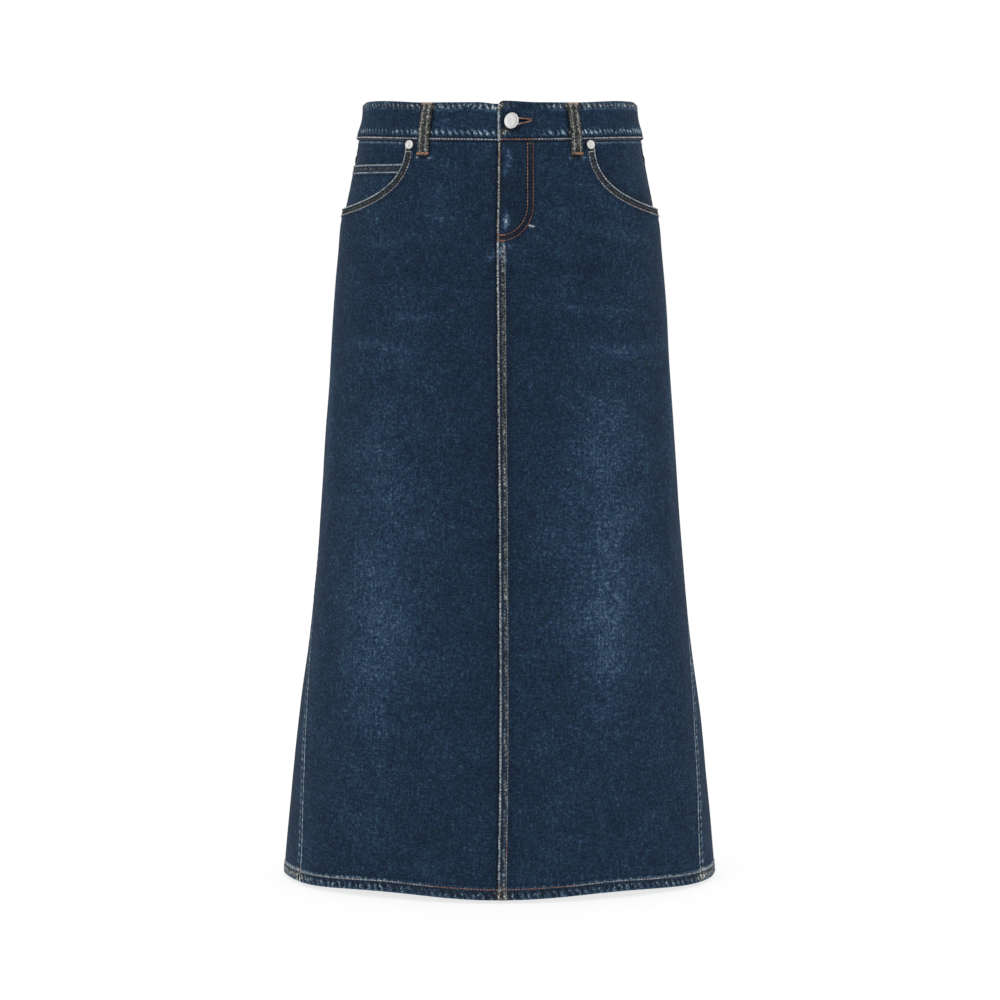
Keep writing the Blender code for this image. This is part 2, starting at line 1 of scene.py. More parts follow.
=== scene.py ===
"""Looks of a long denim skirt: washed indigo cloth, its sewing and metal, and a plain studio.

Every piece of cloth lies on one form. A place on it is an angle round the body, from 0 at the centre
front through 90 degrees at the wearer's left side, and a distance down from the waist. Distances across
the cloth from the centre front, or from the centre back, are turned into such angles by tables.
"""

import math

import bpy
import numpy as np
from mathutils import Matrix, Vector


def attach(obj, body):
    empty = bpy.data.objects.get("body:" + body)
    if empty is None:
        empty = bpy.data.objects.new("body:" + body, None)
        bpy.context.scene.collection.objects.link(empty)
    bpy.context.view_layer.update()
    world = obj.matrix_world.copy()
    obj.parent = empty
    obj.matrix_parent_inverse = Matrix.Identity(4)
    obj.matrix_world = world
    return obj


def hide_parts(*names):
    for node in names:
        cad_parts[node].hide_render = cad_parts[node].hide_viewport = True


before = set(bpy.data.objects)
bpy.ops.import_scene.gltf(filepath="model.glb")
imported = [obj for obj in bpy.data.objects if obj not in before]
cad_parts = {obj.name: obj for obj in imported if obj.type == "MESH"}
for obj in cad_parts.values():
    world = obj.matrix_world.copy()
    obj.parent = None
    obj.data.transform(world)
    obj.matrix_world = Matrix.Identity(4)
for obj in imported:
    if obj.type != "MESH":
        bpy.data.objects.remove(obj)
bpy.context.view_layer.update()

bl_info = {
    "name": "Denim skirt looks",
    "version": (1, 0, 0),
    "blender": (4, 5, 0),
    "location": "View3D > Sidebar > Skirt",
    "description": "Builds the cloth, sewing, metal and studio of a long denim skirt",
    "category": "Object",
}

MM = 0.001
# Farther, in metres, than any two places on the garment.
FAR = 1.0
# The wearer's right and left: the sign of their angles, and their word in the pieces' names.
SIDES = ((-1, "right"), (1, "left"))

# Form of the garment, in mm: down from the waist, half width, depth to the front and to the back.
DOWN, HALF_WIDTH, FRONT_DEPTH, BACK_DEPTH = range(4)
FORM = (
    (-20, 152.6, 107.5, 102.0),
    (0, 153.8, 108.0, 104.0),
    (15, 155.3, 109.0, 105.5),
    (32, 159.8, 111.0, 108.5),
    (52, 163.4, 113.0, 113.0),
    (77, 168.6, 115.0, 119.0),
    (107, 175.2, 117.0, 125.0),
    (132, 180.2, 118.5, 129.0),
    (162, 182.8, 120.5, 132.0),
    (192, 185.6, 122.5, 134.0),
    (272, 191.0, 127.0, 137.0),
    (390, 199.4, 134.5, 142.5),
    (500, 207.0, 142.5, 149.0),
    (592, 215.8, 150.5, 154.5),
    (672, 226.8, 158.5, 161.0),
    (762, 236.6, 167.0, 168.5),
    (842, 244.4, 174.0, 174.5),
    (882, 248.0, 177.0, 177.5),
)

# Side seam: mm down and degrees from the centre front.
SEAM_DEGREES = 1
SIDE_SEAM = (
    (-20, 93.0),
    (0, 94.0),
    (52, 97.0),
    (142, 99.5),
    (292, 100.0),
    (392, 97.5),
    (492, 92.0),
    (555, 86.0),
    (620, 78.8),
    (690, 73.4),
    (752, 70.4),
    (842, 66.6),
    (882, 65.8),
)

# Troughs of the form: degrees from the centre front, half width in degrees, mm sunk at the hem, and mm down
# where each starts.
TROUGHS = (
    (33, 26, 4.0, 470),
    (112, 26, 4.0, 420),
    (150, 22, 5.0, 400),
)

LENGTH = 869.5 * MM
FRONT_TOP_DIP = 2.0 * MM
BACK_TOP_RISE = 7 * MM
BAND_SIDE_RISE = 3.5 * MM
BAND_AT_SIDE = 37 * MM
BAND_AT_FRONT = 42.5 * MM
BAND_AT_BACK = 40 * MM
HEM_LIFT = 4 * MM
HEM_LIFT_ANGLE = math.radians(32)
HEM_LIFT_HALF_WIDTH = math.radians(32)
HEM_SHAPE_FROM, HEM_SHAPE_TO = 700 * MM, 840 * MM
YOKE_AT_SIDE = 26 * MM
YOKE_AT_BACK = 62 * MM

# Walls, offsets from the form with outward positive, and the pitch of ropes and beads along edges.
DENIM = 1.4 * MM
SEAM_GAP = 0.3 * MM
TURNING = 0.8 * MM
FELL_WIDTH = 8 * MM
HEM_HEIGHT = 11.4 * MM
HEM_OUT = 0.6 * MM
HEM_IN = -2.4 * MM
HEM_ROPES = 7.8 * MM
SIDE_ROPES = 8.0 * MM
BAND_LOW_ROPES = 6.8 * MM
BAND_HIGH_ROPES = 7.6 * MM
GATHERS = 9 * MM
SEAM_BEADS = 4.4 * MM
EDGE_BEADS = 5.2 * MM
BAND_OUT = 1.0 * MM
BAND_IN = -1.7 * MM

# Pocket mouth, facing and coin pocket.
MOUTH_FROM_CENTRE = 108 * MM
MOUTH_TOP = 41.5 * MM
MOUTH_DROP = 73.5 * MM
MOUTH_SQUARENESS = 2.6
MOUTH_POINTS = 300
MOUTH_TURNING = 9.2 * MM
FACING_DEEP = -3.9 * MM
FACING_SHALLOW = -1.8 * MM
FACING_WALL = 1.1 * MM
FACING_BOTTOM = 142 * MM
COIN_TOP = 65.5 * MM
COIN_HEM = 10.4 * MM
COIN_FALL = 2.8 * MM
COIN_RISE = 0.4 * MM
COIN_BOTTOM = 132 * MM

# Fly and waistband ends.
FLAP_PAST_CENTRE = 2.6 * MM
FLAP_CORNER = 7 * MM
FLAP_LIFT = 1.5 * MM
UNDERLAP_DIP = 1.5 * MM
UNDERLAP_SINK = 3.1 * MM
UNDERLAP_SINKS_OVER = 24 * MM
UNDERLAP_PAST_CENTRE = 33 * MM
FLY_BOTTOM = 150 * MM
FLY_LINE = 30.1 * MM
FLY_TURNS_IN = 114 * MM
FLY_LINE_END = 147 * MM
FLY_LINES_APART = 6.2 * MM
EDGE_LINE = 0.55 * MM
EDGE_OVERHANG = 1.08 * MM
FELL_LINE = 8.0 * MM

BUTTON_FROM_CENTRE = 12.4 * MM
BUTTON_DOWN = 23.6 * MM
BUTTON_STAND = 6.5 * MM
BUTTON_TURN = math.radians(33)
SLIT_AT_BUTTON = 23.3 * MM
SLIT_AT_END = 21.9 * MM
SLIT_END = 34.3 * MM
RIVET_FROM_CENTRE = 102.2 * MM
RIVET_BELOW_BAND = 5.3 * MM
RIVET_SEAT = 1.2 * MM

# Profiles of the metal: radius and height in mm, from the middle of the face round the rim to the underside.
BUTTON_HEAD = ((0.3, 0.95), (4.0, 0.9), (6.4, 1.05), (7.5, 1.55), (8.3, 1.6), (8.8, 1.2), (8.95, 0.7),
               (8.7, 0.1), (6.2, -0.5), (3.2, -1.5))
RIVET_CAP = ((0.1, 1.55), (0.9, 1.35), (1.5, 0.85), (2.2, 0.95), (3.0, 1.3), (3.9, 1.3), (4.7, 0.95),
             (5.0, 0.4), (4.9, 0.0), (3.6, -0.1))

# Belt loops: each one's name, degrees from the centre front, and how proud the seam under its foot stands.
LOOP_HALF_WIDTH = 6.5 * MM
LOOP_STAND = 2.2 * MM
LOOP_WALL = 2.0 * MM
LOOP_FOOT = 16.5 * MM
LOOP_TURN = 1
LOOPS = (
    ("belt_loop_front_right", -30.8, 0.0),
    ("belt_loop_front_left", 30.8, 0.0),
    ("belt_loop_back_right", -118.0, 0.0),
    ("belt_loop_back_left", 118.0, 0.0),
    ("belt_loop_centre_back", 180.0, TURNING),
)

# Creases of the hanging cloth, given one by one: degrees round the body, mm down, heading in degrees from
# level, half length and half width in mm, and height in mm, where a trough is negative.
CREASES = (
    (-28, 236, -3, 34, 3.6, 0.9),
    (-17, 207, 9, 16, 4.5, 0.7),
    (-42, 152, -9, 40, 7.0, 0.9),
    (-47, 266, 6, 42, 8.0, 1.0),
    (-21, 128, 14, 24, 6.0, 0.5),
    (-30, 186, -5, 34, 7.0, -0.7),
    (31, 228, 5, 36, 3.8, 0.9),
    (18, 196, -8, 18, 5.0, 0.6),
    (43, 143, 9, 38, 7.0, 0.9),
    (49, 274, -4, 38, 8.0, 0.9),
    (33, 182, 3, 34, 7.0, -0.7),
    (-40, 560, 88, 170, 17.0, 1.3),
    (34, 530, 92, 165, 18.0, 1.3),
    (-12, 640, 90, 200, 15.0, -0.9),
    (15, 665, 91, 190, 16.0, -0.8),
    (-60, 610, 86, 200, 17.0, -1.0),
    (57, 600, 94, 190, 16.0, -1.0),
    (-78, 330, 78, 120, 15.0, 1.0),
    (80, 310, 101, 120, 14.0, 1.0),
    (-104, 520, 92, 180, 16.0, -1.0),
    (102, 545, 87, 180, 15.0, -1.0),
    (-163, 268, 14, 46, 8.0, 1.2),
    (160, 280, -12, 48, 8.0, 1.2),
    (-158, 300, 12, 50, 9.0, -1.1),
    (163, 310, -13, 46, 9.0, -1.0),
    (-138, 240, 24, 40, 9.0, 1.0),
    (137, 252, -22, 42, 9.0, 1.0),
    (-150, 610, 90, 210, 17.0, 1.3),
    (147, 590, 91, 200, 18.0, 1.3),
    (-170, 640, 89, 190, 16.0, -0.9),
    (171, 660, 91, 180, 15.0, -0.9),
)

# Washed down areas: degrees, mm down, half width and half height in mm, and how much paler.
FADES = (
    (-42, 520, 62, 170, 0.25),
    (-39, 610, 34, 90, 0.15),
    (-34.5, 690, 3.0, 110, 0.18),
    (36, 480, 64, 160, 0.32),
    (34, 580, 34, 66, 0.24),
    (0, 460, 14, 420, -0.10),
    (0, 310, 66, 300, -0.13),
    (0, 190, 170, 110, -0.04),
    (-14, 740, 70, 120, -0.05),
    (-148, 170, 62, 80, 0.30),
    (148, 170, 62, 80, 0.30),
    (-150, 560, 46, 150, 0.24),
    (148, 545, 46, 150, 0.24),
    (180, 440, 14, 420, -0.12),
)

# Wander of the centre front's stitched edge: mm down, and mm from the centre to the wearer's left.
WANDER = 1
SEAM_WANDER = (
    (10, -1.6),
    (48, -0.5),
    (70, -0.5),
    (92, -0.9),
    (115, -1.2),
    (137, -1.7),
    (180, -2.0),
    (220, -1.6),
    (265, -1.3),
    (330, -0.9),
    (385, -0.3),
    (440, 0.3),
    (500, 0.6),
    (770, 0.5),
    (825, -0.4),
    (870, -0.8),
)

# Rubbed spots about the fly: mm to the wearer's left of the centre, mm down, half width and half height in
# mm, and amount.
FLY_RUBS = (
    (9.5, 61, 3.6, 8, 0.42),
    (8.0, 73, 4.2, 7, 0.40),
    (5.5, 79, 3.4, 4, 0.35),
    (4.5, 54, 3.4, 4, 0.30),
    (6.2, 133, 3.6, 10, 1.00),
    (11.8, 131, 1.4, 8, 0.50),
    (4.2, 158.5, 1.3, 4, 0.70),
    (9.0, 158, 1.3, 4.5, 0.70),
    (12.8, 156, 1.2, 4, 0.50),
    (0, 165, 2.0, 9, 0.60),
    (6.0, 173, 2.2, 8, 0.50),
    (-6.5, 167, 1.4, 5, 0.60),
    (-10.5, 172, 2.0, 4, 0.50),
    (-14, 169, 2.0, 3, 0.35),
    (34, 137, 4.0, 2.6, 0.40),
)

# Studio, in metres: the camera's place and heading, and each lamp's name, place, width and power in watts.
LENS = 104.58
CAMERA_AT = (0.0, -3.3, -0.222)
CAMERA_HEADING = (0.0, 3.3, -0.2226)
LAMPS = (
    ("key", (-1.6, -2.6, 1.3), 1.6, 14.0),
    ("fill", (2.0, -2.2, 0.2), 1.8, 5.0),
    ("rim", (0.4, 2.4, 1.2), 1.6, 6.0),
)
LAMPS_AIM_AT = (0, 0, -0.45)
FLOOR_REACH = 30.0


def linear(hex_colour):
    """The linear colour of an sRGB hex value, by the sRGB curve."""
    channels = [int(hex_colour[i : i + 2], 16) / 255 for i in (1, 3, 5)]
    return (*[c / 12.92 if c <= 0.04045 else ((c + 0.055) / 1.055) ** 2.4 for c in channels], 1.0)


def curve(table, column, down):
    """A cubic Hermite curve through one column of a table in mm down, with slopes from its neighbours."""
    rows = np.array(table, float)
    height = rows[:, DOWN]
    at = np.clip(np.asarray(down, float) / MM, height[0], height[-1])
    slope = np.gradient(rows[:, column], height)
    i = np.clip(np.searchsorted(height, at, side="right") - 1, 0, len(rows) - 2)
    span = height[i + 1] - height[i]
    t = (at - height[i]) / span
    leaving = (1 + 2 * t) * (1 - t) ** 2 * rows[i, column] + t * (1 - t) ** 2 * span * slope[i]
    arriving = t * t * (3 - 2 * t) * rows[i + 1, column] + t * t * (t - 1) * span * slope[i + 1]
    return leaving + arriving


def smooth(value, start, end):
    """0 up to start, 1 from end on, and 3t^2 - 2t^3 between them."""
    t = np.clip((value - start) / (end - start), 0, 1)
    return t * t * (3 - 2 * t)


def hump(value, middle, half_width):
    """Half of one plus a cosine: 1 at the middle, 0 half a width away."""
    return 0.5 + 0.5 * np.cos(math.pi * np.clip((value - middle) / half_width, -1, 1))


def spot(distance, half_width):
    """A bell: e to the minus square of distance over half a width."""
    return np.exp(-((distance / half_width) ** 2))


def uneven(x, y, seed):
    """Smooth unevenness between about -1 and 1: five sines of x and y, crossing at angles set by the seed."""
    total = np.zeros(np.broadcast(x, y).shape)
    for k in range(5):
        heading = seed * 1.7 + k * 2.4
        total += np.sin((1 + 0.37 * k) * (x * math.cos(heading) + y * math.sin(heading)) + seed * (k + 1.3))
    return total / 3


def form_point(angle, down):
    """A point of the bare form: an ellipse of the table's half width and depth at each height."""
    angle, down = np.broadcast_arrays(np.asarray(angle, float), down)
    half_width = curve(FORM, HALF_WIDTH, down) * MM
    depth = np.where(np.cos(angle) > 0, curve(FORM, FRONT_DEPTH, down), curve(FORM, BACK_DEPTH, down)) * MM
    return np.stack([half_width * np.sin(angle), -depth * np.cos(angle), -down], axis=-1)


def form_normal(angle, down):
    """The outward direction of the form: the cross product of its slopes down and round."""
    small = 1e-4
    round_body = form_point(angle + small, down) - form_point(angle - small, down)
    downwards = form_point(angle, down + small) - form_point(angle, down - small)
    normal = np.cross(downwards, round_body)
    return normal / np.linalg.norm(normal, axis=-1, keepdims=True)


def turned_from_front(angle):
    """The angle from the centre front, whichever way round: 0 to 180 degrees."""
    return np.abs((np.asarray(angle) + math.pi) % (2 * math.pi) - math.pi)


def turned_past(angle, degrees):
    """The angle past a place given in degrees, the short way round, from minus to plus half a turn."""
    return (angle - math.radians(degrees) + math.pi) % (2 * math.pi) - math.pi


def trough_depth(angle, down):
    """How far the form's troughs sink: a cosine across each, deepening to the hem."""
    turned = np.degrees(turned_from_front(angle))
    sink = np.zeros(turned.shape)
    for degrees, half_width, deepest, starts in TROUGHS:
        sink = sink + deepest * MM * hump(turned, degrees, half_width) * smooth(down, starts * MM, LENGTH)
    return sink


def place(angle, down, out):
    """The point this far out from the form, along its outward direction, less the troughs."""
    angle, down, out = np.broadcast_arrays(np.asarray(angle, float), down, out)
    reach = out - trough_depth(angle, down)
    return form_point(angle, down) + form_normal(angle, down) * reach[..., None]


# Ring lengths of the form, measured every 2 mm down and every quarter of a degree.
MAP_TOP, MAP_BOTTOM, MAP_STEP, MAP_TURNS = -20 * MM, 882 * MM, 2 * MM, 720
MAP_DOWN = np.arange(MAP_TOP, MAP_BOTTOM + MAP_STEP / 2, MAP_STEP)
MAP_TURN = np.linspace(0, math.pi, MAP_TURNS + 1)
MAP_LENGTH = form_point(MAP_TURN[None, :], MAP_DOWN[:, None])
MAP_LENGTH = np.linalg.norm(np.diff(MAP_LENGTH, axis=1), axis=2)
MAP_LENGTH = np.concatenate([np.zeros((len(MAP_DOWN), 1)), np.cumsum(MAP_LENGTH, axis=1)], axis=1)
MAP_ANGLE = np.array([np.interp(MAP_TURN / math.pi * ring[-1], ring, MAP_TURN) for ring in MAP_LENGTH])

# Distances along the waistband are its turns times the form's half width at the button.
BAND_RADIUS = float(curve(FORM, HALF_WIDTH, BUTTON_DOWN)) * MM


def bilinear(table, row, column):
    """A table read between its cells: the mean of four neighbours, weighted by nearness."""
    row, column = np.broadcast_arrays(row, column)
    i = np.clip(row.astype(int), 0, table.shape[0] - 2)
    j = np.clip(column.astype(int), 0, table.shape[1] - 2)
    f, g = np.clip(row - i, 0, 1), np.clip(column - j, 0, 1)
    upper = table[i, j] * (1 - g) + table[i, j + 1] * g
    lower = table[i + 1, j] * (1 - g) + table[i + 1, j + 1] * g
    return upper * (1 - f) + lower * f


def half_round(down):
    """Half the length of the ring at a height, from the centre front to the centre back."""
    return np.interp(down, MAP_DOWN, MAP_LENGTH[:, -1])


def across_at(angle, down):
    """Distance across the cloth from the centre front to an angle, read from the ring lengths."""
    down = np.asarray(down, float)
    return bilinear(MAP_LENGTH, (down - MAP_TOP) / MAP_STEP, np.asarray(angle) / math.pi * MAP_TURNS)


def angle_at(across, down):
    """The angle that lies this far across the cloth from the centre front, with the sign of the distance."""
    down = np.asarray(down, float)
    share = np.abs(across) / half_round(down)
    return np.copysign(bilinear(MAP_ANGLE, (down - MAP_TOP) / MAP_STEP, share * MAP_TURNS), across)


def side_angle(down):
    """The side seam's angle."""
    return np.radians(curve(SIDE_SEAM, SEAM_DEGREES, down))


def side_distance(down):
    """How far across the cloth the side seam lies from the centre front."""
    return across_at(side_angle(down), down)


def drift(down):
    """How far the stitched centre front edge lies from its straight place, towards the wearer's left."""
    return curve(SEAM_WANDER, WANDER, down) * MM - EDGE_LINE


def top_line(angle):
    """Height of the waistband's top edge: squared cosines lower it in front and raise it behind."""
    towards_front = np.maximum(np.cos(angle), 0) ** 2
    towards_back = np.maximum(-np.cos(angle), 0) ** 2
    return FRONT_TOP_DIP * towards_front - BACK_TOP_RISE * towards_back


def waist_seam(angle):
    """Height of the waistband's lower edge: its top edge and a band height that is more in front."""
    front = (BAND_AT_FRONT - BAND_AT_SIDE) * np.maximum(np.cos(angle), 0) ** 1.6
    back = (BAND_AT_BACK - BAND_AT_SIDE) * np.maximum(-np.cos(angle), 0) ** 2
    return top_line(angle) + BAND_AT_SIDE + front + back


def yoke_seam(angle):
    """Height of the seam under the yoke, a straight fall from the side to the centre back."""
    turned = turned_from_front(angle)
    start = side_angle(BAND_AT_SIDE + YOKE_AT_SIDE)
    share = np.clip((turned - start) / (math.pi - start), 0, 1)
    return waist_seam(angle) + YOKE_AT_SIDE + (YOKE_AT_BACK - YOKE_AT_SIDE) * share


def hem_line(angle):
    """Height of the hem, lifted by a cosine between the centre and the sides."""
    turned = turned_from_front(angle)
    nearest = np.minimum(turned, math.pi - turned)
    return LENGTH - HEM_LIFT * hump(nearest, HEM_LIFT_ANGLE, HEM_LIFT_HALF_WIDTH)


def mouth_line(into_panel=0.0):
    """The pocket mouth as distances across, down and along: a superellipse, moved square to itself."""
    end = float(side_distance(MOUTH_TOP + MOUTH_DROP))
    turn = np.linspace(0, math.pi / 2, MOUTH_POINTS)
    power = 2 / MOUTH_SQUARENESS
    across = end - (end - MOUTH_FROM_CENTRE) * np.cos(turn) ** power
    down = MOUTH_TOP + MOUTH_DROP * np.sin(turn) ** power
    along = np.concatenate([[0], np.cumsum(np.hypot(np.diff(across), np.diff(down)))])
    even = np.linspace(0, along[-1], MOUTH_POINTS)
    across, down = np.interp(even, along, across), np.interp(even, along, down)
    run, fall = np.gradient(across), np.gradient(down)
    length = np.hypot(run, fall)
    return across - into_panel * fall / length, down + into_panel * run / length, even


def near_mouth(across, down):
    """Distance from the pocket mouth and distance along it, from the nearest of the line's points."""
    line_across, line_down, along = mouth_line()
    distance = np.full(across.shape, FAR)
    where = np.zeros(across.shape)
    close = (down < MOUTH_TOP + MOUTH_DROP + 20 * MM) & (across > MOUTH_FROM_CENTRE - 20 * MM)
    gaps = np.hypot(across[close][:, None] - line_across, down[close][:, None] - line_down)
    distance[close] = gaps.min(axis=1)
    where[close] = along[gaps.argmin(axis=1)]
    return distance, where


def hanging(angle, down):
    """Relief of the hanging cloth: three slow waves round the body that deepen to the hem and drift on their
    way down, and a bell across and along each listed crease."""
    deepening = smooth(down, 160 * MM, LENGTH)
    relief = 0.55 * MM * deepening * np.sin(9 * angle + 3.0 * down + 0.7)
    relief = relief + 0.40 * MM * deepening * np.sin(14 * angle - 5.0 * down + 2.1)
    relief = relief + 0.30 * MM * smooth(down, 60 * MM, 300 * MM) * uneven(angle * 14, down * 34, 2.0)
    return relief + crease(angle, down) * MM


def crease(angle, down):
    """The listed creases alone, in mm."""
    radius = half_round(down) / math.pi
    total = np.zeros(np.broadcast(angle, down).shape)
    for degrees, middle, heading, half_length, half_width, height in CREASES:
        x, y = turned_past(angle, degrees) * radius / MM, down / MM - middle
        run, rise = math.cos(math.radians(heading)), math.sin(math.radians(heading))
        bend = 0.0016 * (x * run + y * rise) ** 2 * (1 if degrees > 0 else -1) * (abs(heading) < 45)
        along, beside = x * run + y * rise, y * run - x * rise + bend
        total += height * spot(along, half_length) * spot(beside, half_width)
    return total


def wash_and_fold_shade(angle, down):
    """How much paler or darker the cloth is: a bell for each area that the wash paled or left dark, and along
    the creases ridges paler and troughs darker, which at the hips are partly the wash's whiskers and on every
    fold are a painted highlight on the ridge and painted shade in the trough.
    """
    radius = half_round(down) / math.pi
    total = np.zeros(np.broadcast(angle, down).shape)
    for degrees, middle, half_width, half_height, amount in FADES:
        beside = turned_past(angle, degrees) * radius / MM
        total += amount * spot(beside, half_width) * spot(down / MM - middle, half_height)
    upper = 1 - smooth(down, 330 * MM, 480 * MM)
    # Creases: partly the wash's whiskers at the hips, and a painted highlight and painted shade on every fold.
    return total + crease(angle, down) * (0.03 + 0.32 * upper)


def rolled(distance, radius):
    """How far a wall draws in near a folded edge: a quarter circle of this radius."""
    short = np.clip(radius - distance, 0, radius * 0.96)
    return radius - np.sqrt(radius**2 - short**2)


def twist(along, across, pitch, seed):
    """The phase of the slanting ridges along a twisted edge: a turn for each ridge, and a slow wander."""
    wander = 1.3 * uneven(along / (19 * MM), across / (9 * MM), seed)
    return 2 * math.pi * (along + 0.45 * across) / pitch + wander


def ropes(along, across, pitch, seed):
    """Slanting ridges along a twisted edge, from -1 to 1: the sine of their phase, stronger and weaker."""
    strength = 0.62 + 0.38 * uneven(along / (27 * MM), 0 * across, seed + 4)
    return strength * np.sin(twist(along, across, pitch, seed))


def marks_of(rub, shade, *twisted):
    """The marks that the cloth's materials read at each point: how rubbed it is, how much paler or darker,
    which holds the wash's fades together with painted shade and painted highlight, and the strength and phase
    of its ridges, from whichever pair of the two is the strongest."""
    pairs = [np.broadcast_arrays(rub, *pair)[1:] for pair in twisted or ((0.0, 0.0),)]
    strength, phase = (np.stack(values) for values in zip(*pairs))
    strongest = strength.argmax(axis=0)[None]
    return {
        "rub": np.clip(rub, 0, 1),
        "shade": np.clip(shade, -1, 1),
        "roped": np.clip(np.take_along_axis(strength, strongest, axis=0)[0], 0, 1),
        "phase": np.take_along_axis(phase, strongest, axis=0)[0],
    }


def hem_relief(angle, down, along):
    """Outer and inner relief, rub, shade and ridges of the turned hem: a raised band with ropes, a stitched
    groove above it with painted shadow just under it, and small puckers over that, all worn palest towards the
    sides."""
    above = hem_line(angle) - down
    turned = turned_from_front(angle)
    wear = smooth(np.minimum(turned, math.pi - turned), 0.2, 0.9)
    band = 1 - smooth(above, HEM_HEIGHT - 1.2 * MM, HEM_HEIGHT + 0.8 * MM)
    rope = ropes(along, above, HEM_ROPES, 3.0)
    in_band = band * hump(above, 5.2 * MM, 7 * MM)
    outer = band * HEM_OUT + 0.42 * MM * rope * in_band
    outer = outer + 0.14 * MM * rope * spot(above - HEM_HEIGHT - 1 * MM, 4.5 * MM)
    outer = outer - 0.35 * MM * spot(above - HEM_HEIGHT + 0.2 * MM, 0.9 * MM)
    inner = band * (HEM_IN + DENIM) + 0.2 * MM * rope * in_band
    tuck = rolled(above, 0.95 * MM)
    worn_line = spot(above - HEM_HEIGHT - 1.2 * MM, 2.2 * MM)
    corner = smooth(np.minimum(turned, math.pi - turned), 0.95, 1.25)
    rub = (0.30 + 0.45 * corner) * in_band + 0.38 * spot(above, 1.8 * MM)
    rub = rub + (0.22 + 0.26 * wear + 0.30 * corner) * worn_line
    # Painted shadow just under the hem's stitching. The band as a whole, and a line above the worn line, are
    # darker too.
    shade = -0.24 * in_band - 0.4 * spot(above - HEM_HEIGHT + 2.6 * MM, 1.2 * MM)
    shade = shade - 0.25 * spot(above - HEM_HEIGHT - 4.4 * MM, 1.6 * MM)
    patchy = 0.80 + 0.35 * uneven(along / (21 * MM), 0 * above, 31.0)
    roped = (0.70 + 0.30 * wear) * patchy * np.maximum(in_band, 0.50 * worn_line)
    return outer - tuck, inner + tuck, rub, shade, (roped, twist(along, above, HEM_ROPES, 3.0))


def side_relief(from_side, down, seed, behind):
    """Relief, rub, shade and ridges beside the side seam, which puckers every 8 mm or so: on the front a worn
    welt with a line of painted shade beyond it, and behind it painted shade along the seam, with pale ridges
    and dark hollows beside it."""
    pucker = ropes(down, from_side * 0.4, SIDE_ROPES, seed)
    welt = spot(from_side - 1.6 * MM, 2.4 * MM)
    relief = welt * (0.30 + 0.20 * pucker) * MM + 0.16 * MM * spot(from_side - 5 * MM, 4 * MM) * pucker
    strength = smooth(down, 130 * MM, 600 * MM)
    if behind:
        rub = (0.14 + 0.26 * strength) * spot(from_side - 5 * MM, 3.6 * MM)
        # Painted shade along the seam, where the front's welt stands over the back.
        shade = -(0.25 + 0.35 * strength) * spot(from_side - 1.8 * MM, 1.7 * MM)
        roped = (0.20 + 0.50 * strength) * spot(from_side - 3.4 * MM, 4.4 * MM)
    else:
        rub = spot(from_side - 1.0 * MM, 1.7 * MM) * (0.34 + 0.56 * strength)
        # Painted shade in a line beyond the welt.
        shade = -0.15 * spot(from_side - 4.6 * MM, 1.6 * MM)
        roped = (0.06 + 0.12 * strength) * spot(from_side - 1.0 * MM, 1.6 * MM)
    phase = twist(down, from_side * 0.4, SIDE_ROPES, seed)
    return relief - rolled(from_side, 0.6 * MM), rub, shade, (roped, phase)


